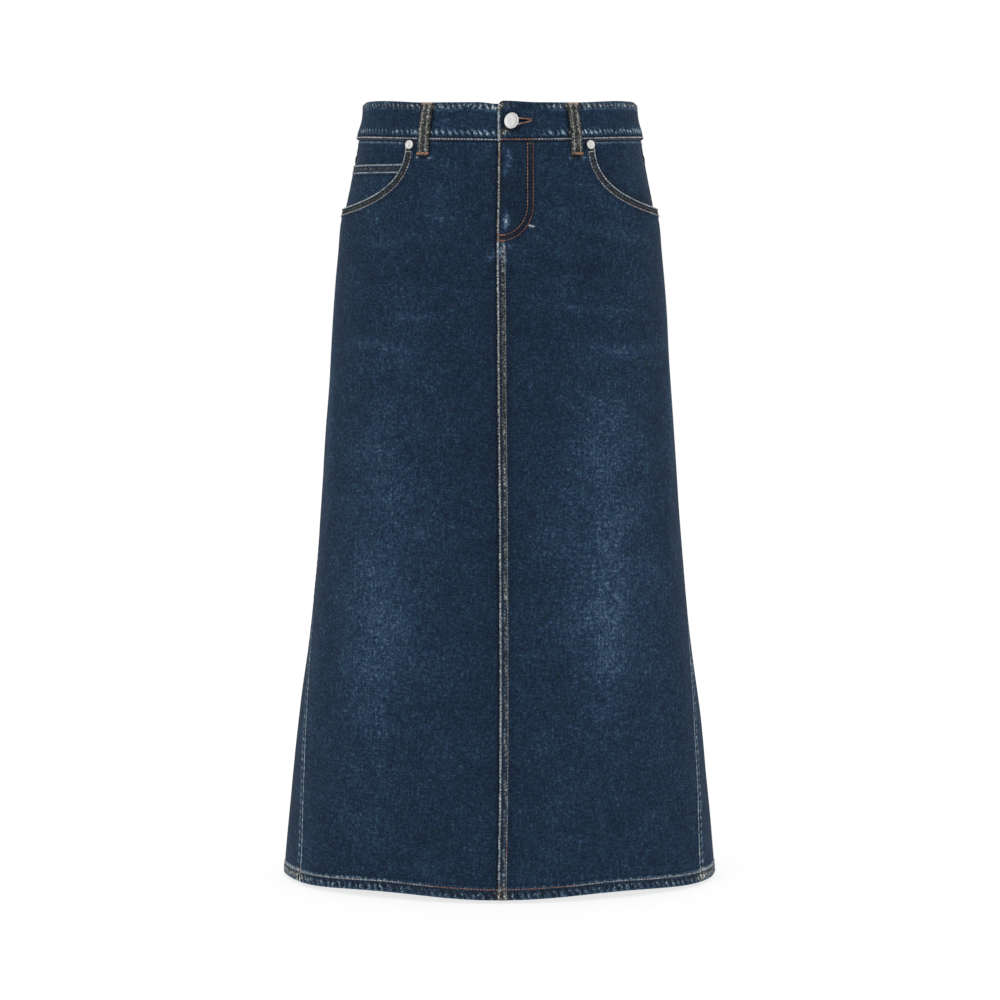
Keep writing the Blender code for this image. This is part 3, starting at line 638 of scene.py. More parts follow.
def front_face(side, across, down):
    """A front panel's angle, outer and inner offsets and marks at distances from the centre front.

    The outer face adds the hanging relief, the turned mouth edge with beads between its stitches, the hem, the
    side welt, and on the wearer's left the lapped and felled centre edge with the fly's layers. Its shade mark
    paints shade between rows of stitches, beside folded and lapped edges, under the waistband and round the
    rivets and loop feet.
    """
    angle = side * angle_at(across, down)
    outer = hanging(angle, down)
    inner = outer - DENIM
    rub = np.zeros(outer.shape)
    shade = wash_and_fold_shade(angle, down)
    for x, y, half_width, half_height, amount in FLY_RUBS:
        bared = amount * spot(side * across / MM - x, half_width) * spot(down / MM - y, half_height)
        rub, shade = rub + 0.6 * bared, shade + 0.7 * bared

    distance, along = near_mouth(across, down)
    turned = 1 - smooth(distance, MOUTH_TURNING - 0.7 * MM, MOUTH_TURNING + 0.5 * MM)
    bead = ropes(along, distance, EDGE_BEADS, 5.0 + side)
    between = turned * hump(distance, 4.9 * MM, 4.4 * MM)
    outer = outer + TURNING * turned + 0.16 * MM * bead * between
    tuck = rolled(distance, 0.9 * MM)
    outer = outer - tuck
    inner = inner + 0.5 * tuck
    rub = rub + 0.80 * spot(distance - 0.3 * MM, 1.1 * MM)
    rub = rub + 0.22 * spot(distance - MOUTH_TURNING, 0.8 * MM)
    rub = rub + 0.38 * between * (0.8 + 0.2 * bead)
    # Painted shade between the mouth's two rows of stitches and beyond its turned edge.
    shade = shade - 0.74 * between - 0.30 * spot(distance - MOUTH_TURNING - 1.8 * MM, 1.5 * MM)

    from_side = side_distance(down) - across
    below_mouth = smooth(down, MOUTH_TOP + MOUTH_DROP - 2 * MM, MOUTH_TOP + MOUTH_DROP + 8 * MM)
    welt, welt_rub, welt_shade, (roped, phase) = side_relief(from_side, down, 1.0 + side, False)
    outer = outer + welt * below_mouth
    inner = inner + 0.5 * rolled(from_side, 0.6 * MM) * below_mouth
    rub = rub + welt_rub * below_mouth
    shade = shade + welt_shade * below_mouth

    along_hem = angle * half_round(down) / math.pi
    hem_out, hem_in, hem_rub, hem_shade, hem_twist = hem_relief(angle, down, along_hem)
    outer, inner, rub, shade = outer + hem_out, inner + hem_in, rub + hem_rub, shade + hem_shade

    below_band = down - waist_seam(angle)
    gather = ropes(across, below_band * 0, GATHERS, 6.0 + side)
    outer = outer + 0.16 * MM * spot(below_band - 3 * MM, 5 * MM) * gather
    outer = outer - 0.4 * MM * spot(below_band, 1.2 * MM)
    to_side = smooth(np.abs(angle), 0.25, 0.9)
    rub = rub + (0.22 + 0.35 * to_side) * spot(below_band - 2.6 * MM, 1.1 * MM) * (0.75 + 0.25 * gather)
    # Painted shadow under the waistband's lower edge.
    shade = shade - 0.65 * spot(below_band - 0.2 * MM, 1.2 * MM)
    # Painted shadow in a ring round each rivet.
    from_rivet = np.hypot(across - RIVET_FROM_CENTRE, below_band - RIVET_BELOW_BAND)
    shade = shade - 0.8 * spot(from_rivet - 4.6 * MM, 1.8 * MM)

    # Painted shadow under the front belt loop's foot, with rubbed spots beside it.
    beside = np.abs(across - across_at(math.radians(LOOPS[1][LOOP_TURN]), down))
    foot = below_band - LOOP_FOOT
    shade = shade - 1.2 * spot(foot - 1.0 * MM, 2.0 * MM) * (1 - smooth(beside, 5 * MM, 8 * MM))
    rub = rub + 0.60 * spot(beside - 7 * MM, 3.5 * MM) * spot(foot - 2.6 * MM, 1.8 * MM)

    if side > 0:
        past = across - drift(down)
        lap = 1 - smooth(past, FELL_WIDTH + 0.8 * MM, FELL_WIDTH + 2.4 * MM)
        fold = 1 - smooth(past, 3 * MM, 8 * MM)
        bead = ropes(down, past, SEAM_BEADS, 7.0)
        on_fly = 1 - smooth(down, FLY_BOTTOM - 2 * MM, FLY_BOTTOM + 6 * MM)
        band = lap * hump(past, 5.8 * MM, 4.4 * MM) * (1 - on_fly)
        deep = np.maximum(down - FLY_TURNS_IN, 0) / (FLY_LINE_END - FLY_TURNS_IN + 8 * MM)
        reach = np.hypot(across / (FLY_LINE + FLY_LINES_APART + 1 * MM), deep)
        layer = (1 - smooth(reach, 0.95, 1.03)) * on_fly
        outer = outer + TURNING * lap * (1 - on_fly) + 0.45 * MM * layer + 0.9 * MM * fold * on_fly
        outer = outer + 0.5 * MM * fold * (1 - on_fly) + 0.15 * MM * bead * band
        inner = inner + (1.55 * MM * fold + 0.15 * MM * layer)
        edge = past + EDGE_OVERHANG
        tuck = rolled(edge, 0.75 * MM)
        outer, inner = outer - tuck, inner + 0.6 * tuck
        rub = rub + spot(edge - 0.8 * MM, 1.6 * MM) * (0.85 + 0.2 * bead)
        rub = rub + 0.66 * band * (0.8 + 0.35 * bead)
        # Painted shade between the felled band's rows, beside its stitching and beyond its folded edge.
        shade = shade - 0.20 * band - 0.40 * spot(past - 2.6 * MM, 0.8 * MM) * (1 - 0.6 * bead)
        shade = shade - 0.30 * spot(past - FELL_WIDTH - 3.0 * MM, 1.2 * MM) * (1 - on_fly)
        # Painted shade between the fly's two rows of stitches. The fly's layers are darker as well.
        ring = (reach - 0.9) * (FLY_LINE + FLY_LINES_APART)
        shade = shade - 0.95 * spot(ring, 3.4 * MM) * on_fly - 0.16 * layer
        rub = rub + 0.12 * spot(ring, 2.4 * MM) * on_fly
    else:
        past = across + drift(down)
        outer = outer - 0.5 * MM * (1 - smooth(past, 0, 5 * MM))
        inner = inner - 0.4 * MM * (1 - smooth(past, 0, 5 * MM))
        # Painted shadow that the lapped left edge casts on the right panel, and broader painted shade under
        # the lap.
        shade = shade - 1.1 * spot(past - 1.8 * MM, 1.5 * MM) - 0.08 * spot(past, 14 * MM)
    return angle, outer, inner, marks_of(rub, shade, hem_twist, (roped * below_mouth, phase))


def back_face(side, upper, from_centre, down):
    """A back panel's angle, offsets and marks at distances from the centre back, or those of the yoke, the
    upper piece.

    The outer face adds the hanging relief, the felled centre band on the wearer's left, the side welt,
    and either the hem or the yoke's turned lower edge with beads.
    """
    angle = side * angle_at(half_round(down) - from_centre, down)
    outer = hanging(angle, down)
    inner = outer - DENIM
    rub = np.zeros(outer.shape)
    shade = wash_and_fold_shade(angle, down)

    from_side = across_at(np.abs(angle), down) - side_distance(down)
    welt, welt_rub, welt_shade, side_twist = side_relief(from_side, down, 1.0 + side, True)
    twisted = [side_twist]
    outer, rub, shade = outer + welt, rub + welt_rub, shade + welt_shade
    inner = inner + 0.5 * rolled(from_side, 0.6 * MM)

    bead = ropes(down, from_centre, SEAM_BEADS, 9.0)
    if side > 0:
        lap = 1 - smooth(from_centre, FELL_WIDTH, FELL_WIDTH + 1.6 * MM)
        band = lap * hump(from_centre, 4.6 * MM, 4.4 * MM)
        outer = outer + (TURNING + 0.3 * MM) * lap + 0.15 * MM * bead * band
        rub = rub + 0.8 * spot(from_centre - 0.6 * MM, 1.0 * MM) + 0.50 * band * (0.8 + 0.35 * bead)
        # Painted shade between the felled band's rows and beyond its folded edge.
        shade = shade - 0.20 * band - 0.3 * spot(from_centre - FELL_WIDTH - 2 * MM, 1.4 * MM)
    else:
        # Painted shadow where the left panel laps over the centre back.
        shade = shade - 0.9 * spot(from_centre - 0.6 * MM, 1.6 * MM)
    tuck = rolled(from_centre, 0.6 * MM)
    outer, inner = outer - tuck, inner + 0.5 * tuck

    below_band = down - waist_seam(angle)
    gather = ropes(from_centre, below_band * 0, GATHERS, 11.0)
    outer = outer - 0.4 * MM * spot(below_band, 1.2 * MM)
    rub = rub + 0.50 * spot(below_band - 2.6 * MM, 1.1 * MM) * (0.75 + 0.25 * gather)
    # Painted shadow under the waistband's lower edge.
    shade = shade - 0.65 * spot(below_band - 0.2 * MM, 1.2 * MM)

    above_seam = yoke_seam(angle) - down
    if upper:
        lap = 1 - smooth(above_seam, FELL_WIDTH, FELL_WIDTH + 1.6 * MM)
        bead = ropes(from_centre, above_seam, EDGE_BEADS, 12.0)
        band = lap * hump(above_seam, 4.6 * MM, 4.4 * MM)
        outer = outer + TURNING * lap * (1 - 0.4 * spot(from_centre, 6 * MM)) + 0.15 * MM * bead * band
        tuck = rolled(above_seam, 0.85 * MM)
        outer, inner = outer - tuck, inner + 0.5 * tuck
        rub = rub + 0.75 * spot(above_seam - 0.5 * MM, 1.1 * MM) + 0.36 * band * (0.8 + 0.2 * bead)
        # Painted shade between the yoke's rows of stitches.
        shade = shade - 0.55 * band
    else:
        # Painted shadow under the yoke's lapped lower edge.
        shade = shade - 0.8 * spot(above_seam + 0.8 * MM, 1.5 * MM)
        rub = rub + 0.3 * spot(above_seam + 4.2 * MM, 1.6 * MM) * (0.5 + 0.5 * gather)
        along_hem = angle * half_round(down) / math.pi
        hem_out, hem_in, hem_rub, hem_shade, hem_twist = hem_relief(angle, down, along_hem)
        outer, inner, rub, shade = outer + hem_out, inner + hem_in, rub + hem_rub, shade + hem_shade
        twisted.append(hem_twist)
    return angle, outer, inner, marks_of(rub, shade, *twisted)


def band_face(turn, share):
    """The waistband at a turn from its buttonhole end, past a whole turn to its button end, and a share of
    its height: height, offsets and marks.

    Ropes run above the lower edge and under the top edge, both edges and the lapping end are rolled, and
    the button end sinks behind the lap.
    """
    past_start = turn * BAND_RADIUS + FLAP_PAST_CENTRE
    past_centre = (turn - 2 * math.pi) * BAND_RADIUS
    short = np.clip(FLAP_CORNER - past_start, 0, FLAP_CORNER)
    corner = FLAP_CORNER - np.sqrt(FLAP_CORNER**2 - short**2)
    lift = FLAP_LIFT * (1 - smooth(past_start, 8 * MM, 45 * MM))
    sunk = smooth(past_centre, -UNDERLAP_SINKS_OVER, -FLAP_PAST_CENTRE - 1 * MM)
    sideways = np.abs(np.sin(turn))
    raised = smooth(sideways, 0.5, 0.93) * (1 - 0.6 * smooth(sideways, 0.965, 1.0))
    raised = raised * smooth(np.cos(turn), -0.45, 0)
    top = top_line(turn) + corner - lift + UNDERLAP_DIP * sunk - BAND_SIDE_RISE * raised
    bottom = waist_seam(turn)
    down = top + (bottom - top) * share
    below_top, above_edge = down - top, bottom - down
    along = turn * BAND_RADIUS
    low = hump(above_edge, 8.6 * MM, 5.4 * MM)
    high = hump(below_top, 4.4 * MM, 5.4 * MM)
    relief = 0.34 * MM * ropes(along, above_edge, BAND_LOW_ROPES, 13.0) * low
    relief = relief + 0.26 * MM * ropes(along, -below_top, BAND_HIGH_ROPES, 14.0) * high
    relief = relief + 0.22 * MM * uneven(along / (22 * MM), down / (13 * MM), 5.0)
    relief = relief - 0.30 * MM * spot(above_edge - 1.7 * MM, 0.9 * MM)
    end = np.minimum(past_start, (2 * math.pi * BAND_RADIUS + UNDERLAP_PAST_CENTRE) - along)
    edge = np.minimum(np.minimum(below_top, above_edge), end)
    tuck = rolled(edge, 1.25 * MM)
    outer = BAND_OUT + relief - tuck - UNDERLAP_SINK * sunk
    inner = BAND_IN + 0.6 * relief + tuck - UNDERLAP_SINK * sunk
    patchy = np.clip(0.9 + 0.45 * uneven(along / (30 * MM), 0 * share, 21.0), 0.35, 1.25)
    patchy = patchy * (1 - 0.75 * spot(past_start - 32 * MM, 16 * MM))
    rub = (0.44 * low + 0.56 * high) * patchy
    rub = rub + 0.35 * spot(below_top - 8.4 * MM, 0.8 * MM) * patchy + 0.22 * spot(below_top, 1.2 * MM)
    rub = rub + 0.45 * spot(above_edge - 1.7 * MM, 1.0 * MM) * np.minimum(patchy, 1)
    rub = rub + 0.95 * spot(past_start - 1.2 * MM, 1.9 * MM)
    rub = rub + 0.70 * spot(past_start - 8 * MM, 3.2 * MM) * spot(above_edge - 9.5 * MM, 3.6 * MM)
    streak = np.clip(ropes(past_start - 0.8 * below_top, 0 * down, 5.4 * MM, 22.0), 0, 1)
    rub = rub + 0.80 * streak * spot(past_start - 9 * MM, 7 * MM) * spot(below_top - 6 * MM, 5 * MM)
    shade = -0.06 * low - 0.22 * high
    # A dark line above the lower stitching, and painted shade over the button end where it lies hidden behind
    # the lap.
    shade = shade - 0.60 * spot(above_edge - 3.4 * MM, 0.9 * MM) - 1.2 * smooth(past_centre, 0, 8 * MM)
    shade = shade + 0.08 * uneven(along / (40 * MM), down / (18 * MM), 9.0) - 0.04
    # Painted shade beside the lapping end's edge.
    shade = shade - 0.40 * spot(past_start - 4.6 * MM, 1.8 * MM)
    # Painted shadow in a ring round the button.
    from_button = np.hypot(along - BUTTON_FROM_CENTRE, down - BUTTON_DOWN)
    shade = shade - 0.9 * spot(np.maximum(from_button - 8 * MM, 0), 3 * MM)
    # Painted shadow on the waistband along both sides of each belt loop.
    for _, degrees, _ in LOOPS:
        beside = turned_from_front(turn - math.radians(degrees)) * BAND_RADIUS
        shade = shade - 0.75 * spot(beside - LOOP_HALF_WIDTH - 0.8 * MM, 1.4 * MM)
    marks = marks_of(rub, shade, (0.9 * low * patchy, twist(along, above_edge, BAND_LOW_ROPES, 13.0)),
                     (0.8 * high * patchy, twist(along, -below_top, BAND_HIGH_ROPES, 14.0)))
    return down, outer, inner, marks


def facing_offset(angle, down):
    """How deep the pocket facing lies: shallow at the waist seam and the side seam, deep between them."""
    from_seam = smooth(down, waist_seam(angle) + 1 * MM, waist_seam(angle) + 9 * MM)
    from_side = (side_angle(down) - angle) * curve(FORM, FRONT_DEPTH, down) * MM
    free_of_side = smooth(from_side, 2 * MM, 16 * MM)
    low = smooth(down, 85 * MM, 104 * MM)
    deep = from_seam * (free_of_side + (1 - free_of_side) * low)
    return FACING_SHALLOW + (FACING_DEEP - FACING_SHALLOW) * deep


def coin_dip(across, down):
    """How far the coin pocket's edge lies under its level: an even fall from the side seam to the mouth."""
    side = side_distance(down)
    return COIN_FALL * (side - across) / (side - MOUTH_FROM_CENTRE) - COIN_RISE


def coin_face(across, down):
    """The coin pocket's angle, on the wearer's right, with its offsets and marks: a turned hem with beads
    over a plain pocket."""
    angle = angle_at(across, down)
    inner = facing_offset(angle, down) + 0.55 * MM
    below = down - COIN_TOP - coin_dip(across, down)
    hem = 1 - smooth(below, COIN_HEM - 0.6 * MM, COIN_HEM + 0.6 * MM)
    bead = ropes(across, below, 6 * MM, 15.0)
    band = hem * hump(below, COIN_HEM / 2, 4.2 * MM)
    tuck = rolled(below, 0.5 * MM)
    outer = inner + 1.0 * MM + 0.3 * MM * hem + 0.12 * MM * bead * band - tuck
    rub = 0.75 * spot(below - 0.5 * MM, 1.3 * MM) + 0.65 * spot(below - COIN_HEM + 0.8 * MM, 1.2 * MM)
    rub = rub + 0.52 * band * (0.8 + 0.2 * bead)
    # Painted shade between the coin pocket's rows of stitches, and painted shadow under its hem's edge.
    shade = -0.50 * band - 0.5 * spot(below - COIN_HEM - 1.6 * MM, 1.3 * MM) + 0.05
    return -angle, outer, inner, marks_of(rub, shade)


def ladder(*spans):
    """Values that climb through spans, each given as (from, to, steps), with even steps inside a span."""
    parts = [np.linspace(start, end, steps + 1)[:-1] for start, end, steps in spans]
    return np.concatenate([*parts, [spans[-1][1]]])


# Distances from an edge at which the grid's lines lie, close together where the wall rolls over.
EDGE_STEPS = np.array([0, 0.2, 0.5, 0.9, 1.5, 2.3, 3.3, 4.4, 5.6, 6.8, 7.8, 8.6, 9.4, 11, 13]) * MM
# Heights of a panel's lowest rows, close together too where the hem rolls over.
HEM_ROWS = np.concatenate([ladder((844 * MM, LENGTH - 1.2 * MM, 24)),
                           LENGTH - np.array([0.8, 0.45, 0.2, 0.0]) * MM])


def columns_between(start, end, count):
    """Distances from one edge to the other, close together near both: edge steps and even steps between."""
    share = np.linspace(0, 1, count + 2)[1:-1]
    inside = start[:, None] + EDGE_STEPS[-1] + (end - start - 2 * EDGE_STEPS[-1])[:, None] * share
    return np.concatenate([start[:, None] + EDGE_STEPS, inside, end[:, None] - EDGE_STEPS[::-1]], axis=1)


def new_object(name, points, faces, material=None):
    """An object at the origin, linked to the scene, with a mesh of these points and faces."""
    mesh = bpy.data.meshes.new(name)
    mesh.from_pydata(points, [], faces)
    if material:
        mesh.materials.append(material)
    obj = bpy.data.objects.new(name, mesh)
    bpy.context.scene.collection.objects.link(obj)
    return obj


def set_mark(mesh, mark, values):
    """Stores one value for each of a mesh's points, for its materials to read."""
    attribute = mesh.attributes.new(mark, "FLOAT", "POINT")
    attribute.data.foreach_set("value", values.reshape(-1).astype(np.float32))


def shell(name, outer, inner, uv, marks, materials):
    """A closed wall of cloth between an outer and an inner grid of points, its four rims joined. Marks are
    values at each point that the materials read, and the first material is the outer face's."""
    rows, columns = outer.shape[:2]
    index = np.arange(rows * columns).reshape(rows, columns)
    skin = np.stack([index[:-1, :-1], index[1:, :-1], index[1:, 1:], index[:-1, 1:]], axis=-1).reshape(-1, 4)
    behind = rows * columns
    rim = np.concatenate([index[0, :], index[1:, -1], index[-1, -2::-1], index[-2:0:-1, 0]])
    after = np.roll(rim, -1)
    edge = np.stack([rim, after, after + behind, rim + behind], axis=-1)
    faces = np.concatenate([skin, edge, skin[:, ::-1] + behind])
    points = np.concatenate([outer.reshape(-1, 3), inner.reshape(-1, 3)])
    obj = new_object(name, points.tolist(), faces.tolist())
    mesh = obj.data
    mesh.polygons.foreach_set("material_index", np.repeat([0, 1], [len(skin) + len(edge), len(skin)]))
    corners = faces.reshape(-1) % behind
    mesh.uv_layers.new(name="cloth").data.foreach_set("uv", uv.reshape(-1, 2)[corners].reshape(-1))
    for mark, values in marks.items():
        set_mark(mesh, mark, np.tile(values.reshape(-1), 2))
    mesh.shade_smooth()
    for material in materials:
        mesh.materials.append(material)
    return obj


CLOTH_SHIFT = 0.37


def cloth_piece(name, side, face, first, second, materials):
    """A shell from one of the face functions over a grid of distances, mirrored for the wearer's right and
    hung on the root in place of its part. The map of the cloth is those distances in metres, shifted so that
    the two sides have a grain of their own."""
    angle, outer, inner, marks = face
    order = slice(None, None, -1 if angle[0, -1] < angle[0, 0] else 1)
    uv = np.stack([first * side + CLOTH_SHIFT * side, -second], axis=-1)
    marks = {mark: values[:, order] for mark, values in marks.items()}
    obj = shell(f"{name}_cloth", place(angle, second, outer)[:, order], place(angle, second, inner)[:, order],
                uv[:, order], marks, materials)
    declare(obj, name, "denim")


def declare(obj, node, slot):
    """Hangs a piece on the root and, where it has a slot, hides the part that it replaces."""
    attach(obj, "root")
    if slot:
        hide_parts(node)


def add(tree, kind, inputs=(), stops=(), **settings):
    """Adds one node, with its settings, a ramp's stops, and its inputs as values or links, and returns its
    outputs."""
    node = tree.nodes.new(kind)
    for name, value in settings.items():
        setattr(node, name, value)
    for number, (position, colour) in enumerate(stops):
        ramp = node.color_ramp.elements
        element = ramp[number] if number < 2 else ramp.new(position)
        element.position = position
        element.color = colour
    for name, value in dict(inputs).items():
        if isinstance(value, bpy.types.NodeSocket):
            tree.links.new(value, node.inputs[name])
        else:
            node.inputs[name].default_value = value
    return node.outputs


def blank(name):
    """A new material with an output alone: the material and its node tree."""
    material = bpy.data.materials.new(name)
    material.use_nodes = True
    material.node_tree.nodes.clear()
    return material, material.node_tree


def denim_face(colours, name="washed_indigo_denim"):
    """Ring-dyed indigo cotton twill of about 12 ounces, stone washed. The dye sits on the outside of the warp
    threads, so rubbed ridges show their pale cores, and thick and thin yarn shows as upright streaks."""
    material, tree = blank(name)
    uv = add(tree, "ShaderNodeUVMap", uv_map="cloth")[0]
    rub = add(tree, "ShaderNodeAttribute", attribute_name="rub")["Fac"]
    shade = add(tree, "ShaderNodeAttribute", attribute_name="shade")["Fac"]
    # Twill ribs 0.9 mm apart, a little coarser than real ones, so that a close view shows them.
    ribs = add(tree, "ShaderNodeMapping", {"Vector": uv, "Rotation": (0, 0, math.radians(-62))})[0]
    ribs = add(tree, "ShaderNodeTexWave", {"Vector": ribs, "Scale": 350, "Distortion": 1.4, "Detail": 2,
                                           "Detail Scale": 1.5}, bands_direction="X")["Fac"]
    # Thick and thin warp yarn, in streaks 1.3 mm wide and 20 mm long, and weft slubs, in level marks of 6 mm.
    warpwise = add(tree, "ShaderNodeMapping", {"Vector": uv, "Scale": (760, 50, 1)})[0]
    weftwise = add(tree, "ShaderNodeMapping", {"Vector": uv, "Scale": (160, 620, 1)})[0]
    # Then the grain of the wash: specks of 1.6 mm, mottles of 3 mm, clouds of 11 and 45 mm, the clouds of 9 mm
    # that a green cast follows, and pale flecks of 1 mm.
    yarn, weft, specks, mottle, clouds, broad, cast, flecks = [
        add(tree, "ShaderNodeTexNoise", {"Vector": vector, "Scale": scale, "Detail": detail,
                                         "Roughness": rough, "Distortion": distortion})["Fac"]
        for vector, scale, detail, rough, distortion in (
            (warpwise, 1, 3, 0.6, 0), (weftwise, 1, 2, 0.6, 0),
            (uv, 620, 2, 0.7, 0), (uv, 300, 1, 0.8, 0.5), (uv, 90, 3, 0.6, 0), (uv, 22, 2, 0.5, 0),
            (uv, 110, 3, 0.6, 0.4), (uv, 900, 1, 0.5, 0))]
    # The shade mark moves the dye along its ramp: the wash's fades, with painted shade in folds, beside seams,
    # under laps and round the metal, and painted highlight on the folds' ridges.
    light = add(tree, "ShaderNodeMath", {0: shade, 1: 0.42, 2: 0.30}, operation="MULTIPLY_ADD")[0]
    for part, weight in ((yarn, 0.50), (weft, 0.28), (specks, 0.55), (mottle, 0.78), (clouds, 0.33),
                         (broad, 0.24), (ribs, 0.12)):
        part = add(tree, "ShaderNodeMath", {0: part, 1: weight, 2: -weight / 2}, operation="MULTIPLY_ADD")[0]
        light = add(tree, "ShaderNodeMath", {0: light, 1: part}, operation="ADD")[0]
    # Ridges of the twisted edges, worn pale on top and dark between.
    phase = add(tree, "ShaderNodeAttribute", attribute_name="phase")["Fac"]
    for grain, bend in ((mottle, 6.0), (clouds, 10.0)):
        phase = add(tree, "ShaderNodeMath", {0: grain, 1: bend, 2: phase}, operation="MULTIPLY_ADD")[0]
    ridge = add(tree, "ShaderNodeMath", {0: phase}, operation="SINE")[0]
    roped = add(tree, "ShaderNodeAttribute", attribute_name="roped")["Fac"]
    roped = add(tree, "ShaderNodeMath", {0: roped, 1: 0.42}, operation="MULTIPLY")[0]
    light = add(tree, "ShaderNodeMath", {0: ridge, 1: roped, 2: light}, operation="MULTIPLY_ADD")[0]
    # Rubbing takes hold of the ridges of the weave first.
    grip = add(tree, "ShaderNodeMath", {0: specks, 1: 1.5, 2: 0.12}, operation="MULTIPLY_ADD")[0]
    worn = add(tree, "ShaderNodeMath", {0: rub, 1: grip}, operation="MULTIPLY")[0]
    light = add(tree, "ShaderNodeMath", {0: worn, 1: 0.78, 2: light}, operation="MULTIPLY_ADD")[0]
    # Cloth that the shade mark darkens, and that is rubbed, goes grey and packs into beads of 2.4 mm. Between
    # two rows of stitches that darkening is painted shade.
    packed = add(tree, "ShaderNodeMath", {0: rub, 1: shade}, operation="MULTIPLY")[0]
    packed = add(tree, "ShaderNodeMath", {0: packed, 1: -5.0}, operation="MULTIPLY", use_clamp=True)[0]
    beads = add(tree, "ShaderNodeTexVoronoi", {"Vector": uv, "Scale": 420, "Randomness": 0.8})["Distance"]
    beads = add(tree, "ShaderNodeMath", {0: beads, 1: -1.2, 2: 0.50}, operation="MULTIPLY_ADD")[0]
    light = add(tree, "ShaderNodeMath", {0: beads, 1: packed, 2: light}, operation="MULTIPLY_ADD")[0]
    dye = add(tree, "ShaderNodeValToRGB", {"Fac": light}, stops=(
        (0.0, colours.deep_indigo),
        (1.0, colours.bare_cotton),
        (0.33, colours.indigo),
        (0.56, colours.washed_indigo),
        (0.80, colours.worn_indigo),
    ))[0]
    # The wash leaves a green cast, pale flecks where the stones bared single yarns, and grey where it soiled.
    cast, flecks = [
        add(tree, "ShaderNodeMapRange", {"Value": grain, "From Min": low, "From Max": high, "To Max": 0.4})[0]
        for grain, low, high in ((cast, 0.45, 0.72), (flecks, 0.60, 0.78))]
    soiled = add(tree, "ShaderNodeMath", {0: packed, 1: packed}, operation="MULTIPLY")[0]
    colour = dye
    for share, tint, blend in (
        (cast, colours.teal_cast, "COLOR"),
        (flecks, colours.worn_indigo, "MIX"),
        (soiled, colours.grey_cast, "COLOR"),
    ):
        colour = add(tree, "ShaderNodeMix", {0: share, 6: colour, 7: tint}, data_type="RGBA",
                     blend_type=blend)[2]
    height = 0.0
    for part, weight in ((ribs, 0.45), (yarn, 0.9), (specks, 0.7)):
        height = add(tree, "ShaderNodeMath", {0: part, 1: weight, 2: height}, operation="MULTIPLY_ADD")[0]
    bump = add(tree, "ShaderNodeBump", {"Height": height, "Strength": 0.5, "Distance": 0.35 * MM})[0]
    rough = add(tree, "ShaderNodeMapRange", {"Value": specks, "To Min": 0.82, "To Max": 0.96})[0]
    surface = add(tree, "ShaderNodeBsdfPrincipled", {
        "Base Color": colour, "Roughness": rough, "Normal": bump, "Specular IOR Level": 0.10, "IOR": 1.5,
        "Sheen Weight": 0.05, "Sheen Roughness": 0.5, "Sheen Tint": linear("#8fa3b8")})[0]
    add(tree, "ShaderNodeOutputMaterial", {"Surface": surface})
    return material


def denim_back(colours):
    """The inside of the same twill, where undyed weft lies on top: paler and greyer, with finer streaks."""
    material, tree = blank("denim_inside")
    uv = add(tree, "ShaderNodeUVMap", uv_map="cloth")[0]
    ribs = add(tree, "ShaderNodeMapping", {"Vector": uv, "Rotation": (0, 0, math.radians(62))})[0]
    ribs = add(tree, "ShaderNodeTexWave", {"Vector": ribs, "Scale": 350, "Distortion": 1.2},
               bands_direction="X")["Fac"]
    yarn = add(tree, "ShaderNodeMapping", {"Vector": uv, "Scale": (240, 620, 1)})[0]
    yarn = add(tree, "ShaderNodeTexNoise", {"Vector": yarn, "Scale": 1, "Detail": 3, "Roughness": 0.6})["Fac"]
    tone = add(tree, "ShaderNodeMath", {0: ribs, 1: 0.35}, operation="MULTIPLY")[0]
    tone = add(tree, "ShaderNodeMath", {0: yarn, 1: 0.75, 2: tone}, operation="MULTIPLY_ADD")[0]
    colour = add(tree, "ShaderNodeMix", {0: tone, 6: colours.washed_indigo, 7: colours.bare_cotton},
                 data_type="RGBA")[2]
    bump = add(tree, "ShaderNodeBump", {"Height": tone, "Strength": 0.4, "Distance": 0.3 * MM})[0]
    surface = add(tree, "ShaderNodeBsdfPrincipled", {
        "Base Color": colour, "Roughness": 0.93, "Normal": bump, "Specular IOR Level": 0.2,
        "Sheen Weight": 0.08})[0]
    add(tree, "ShaderNodeOutputMaterial", {"Surface": surface})
    return material


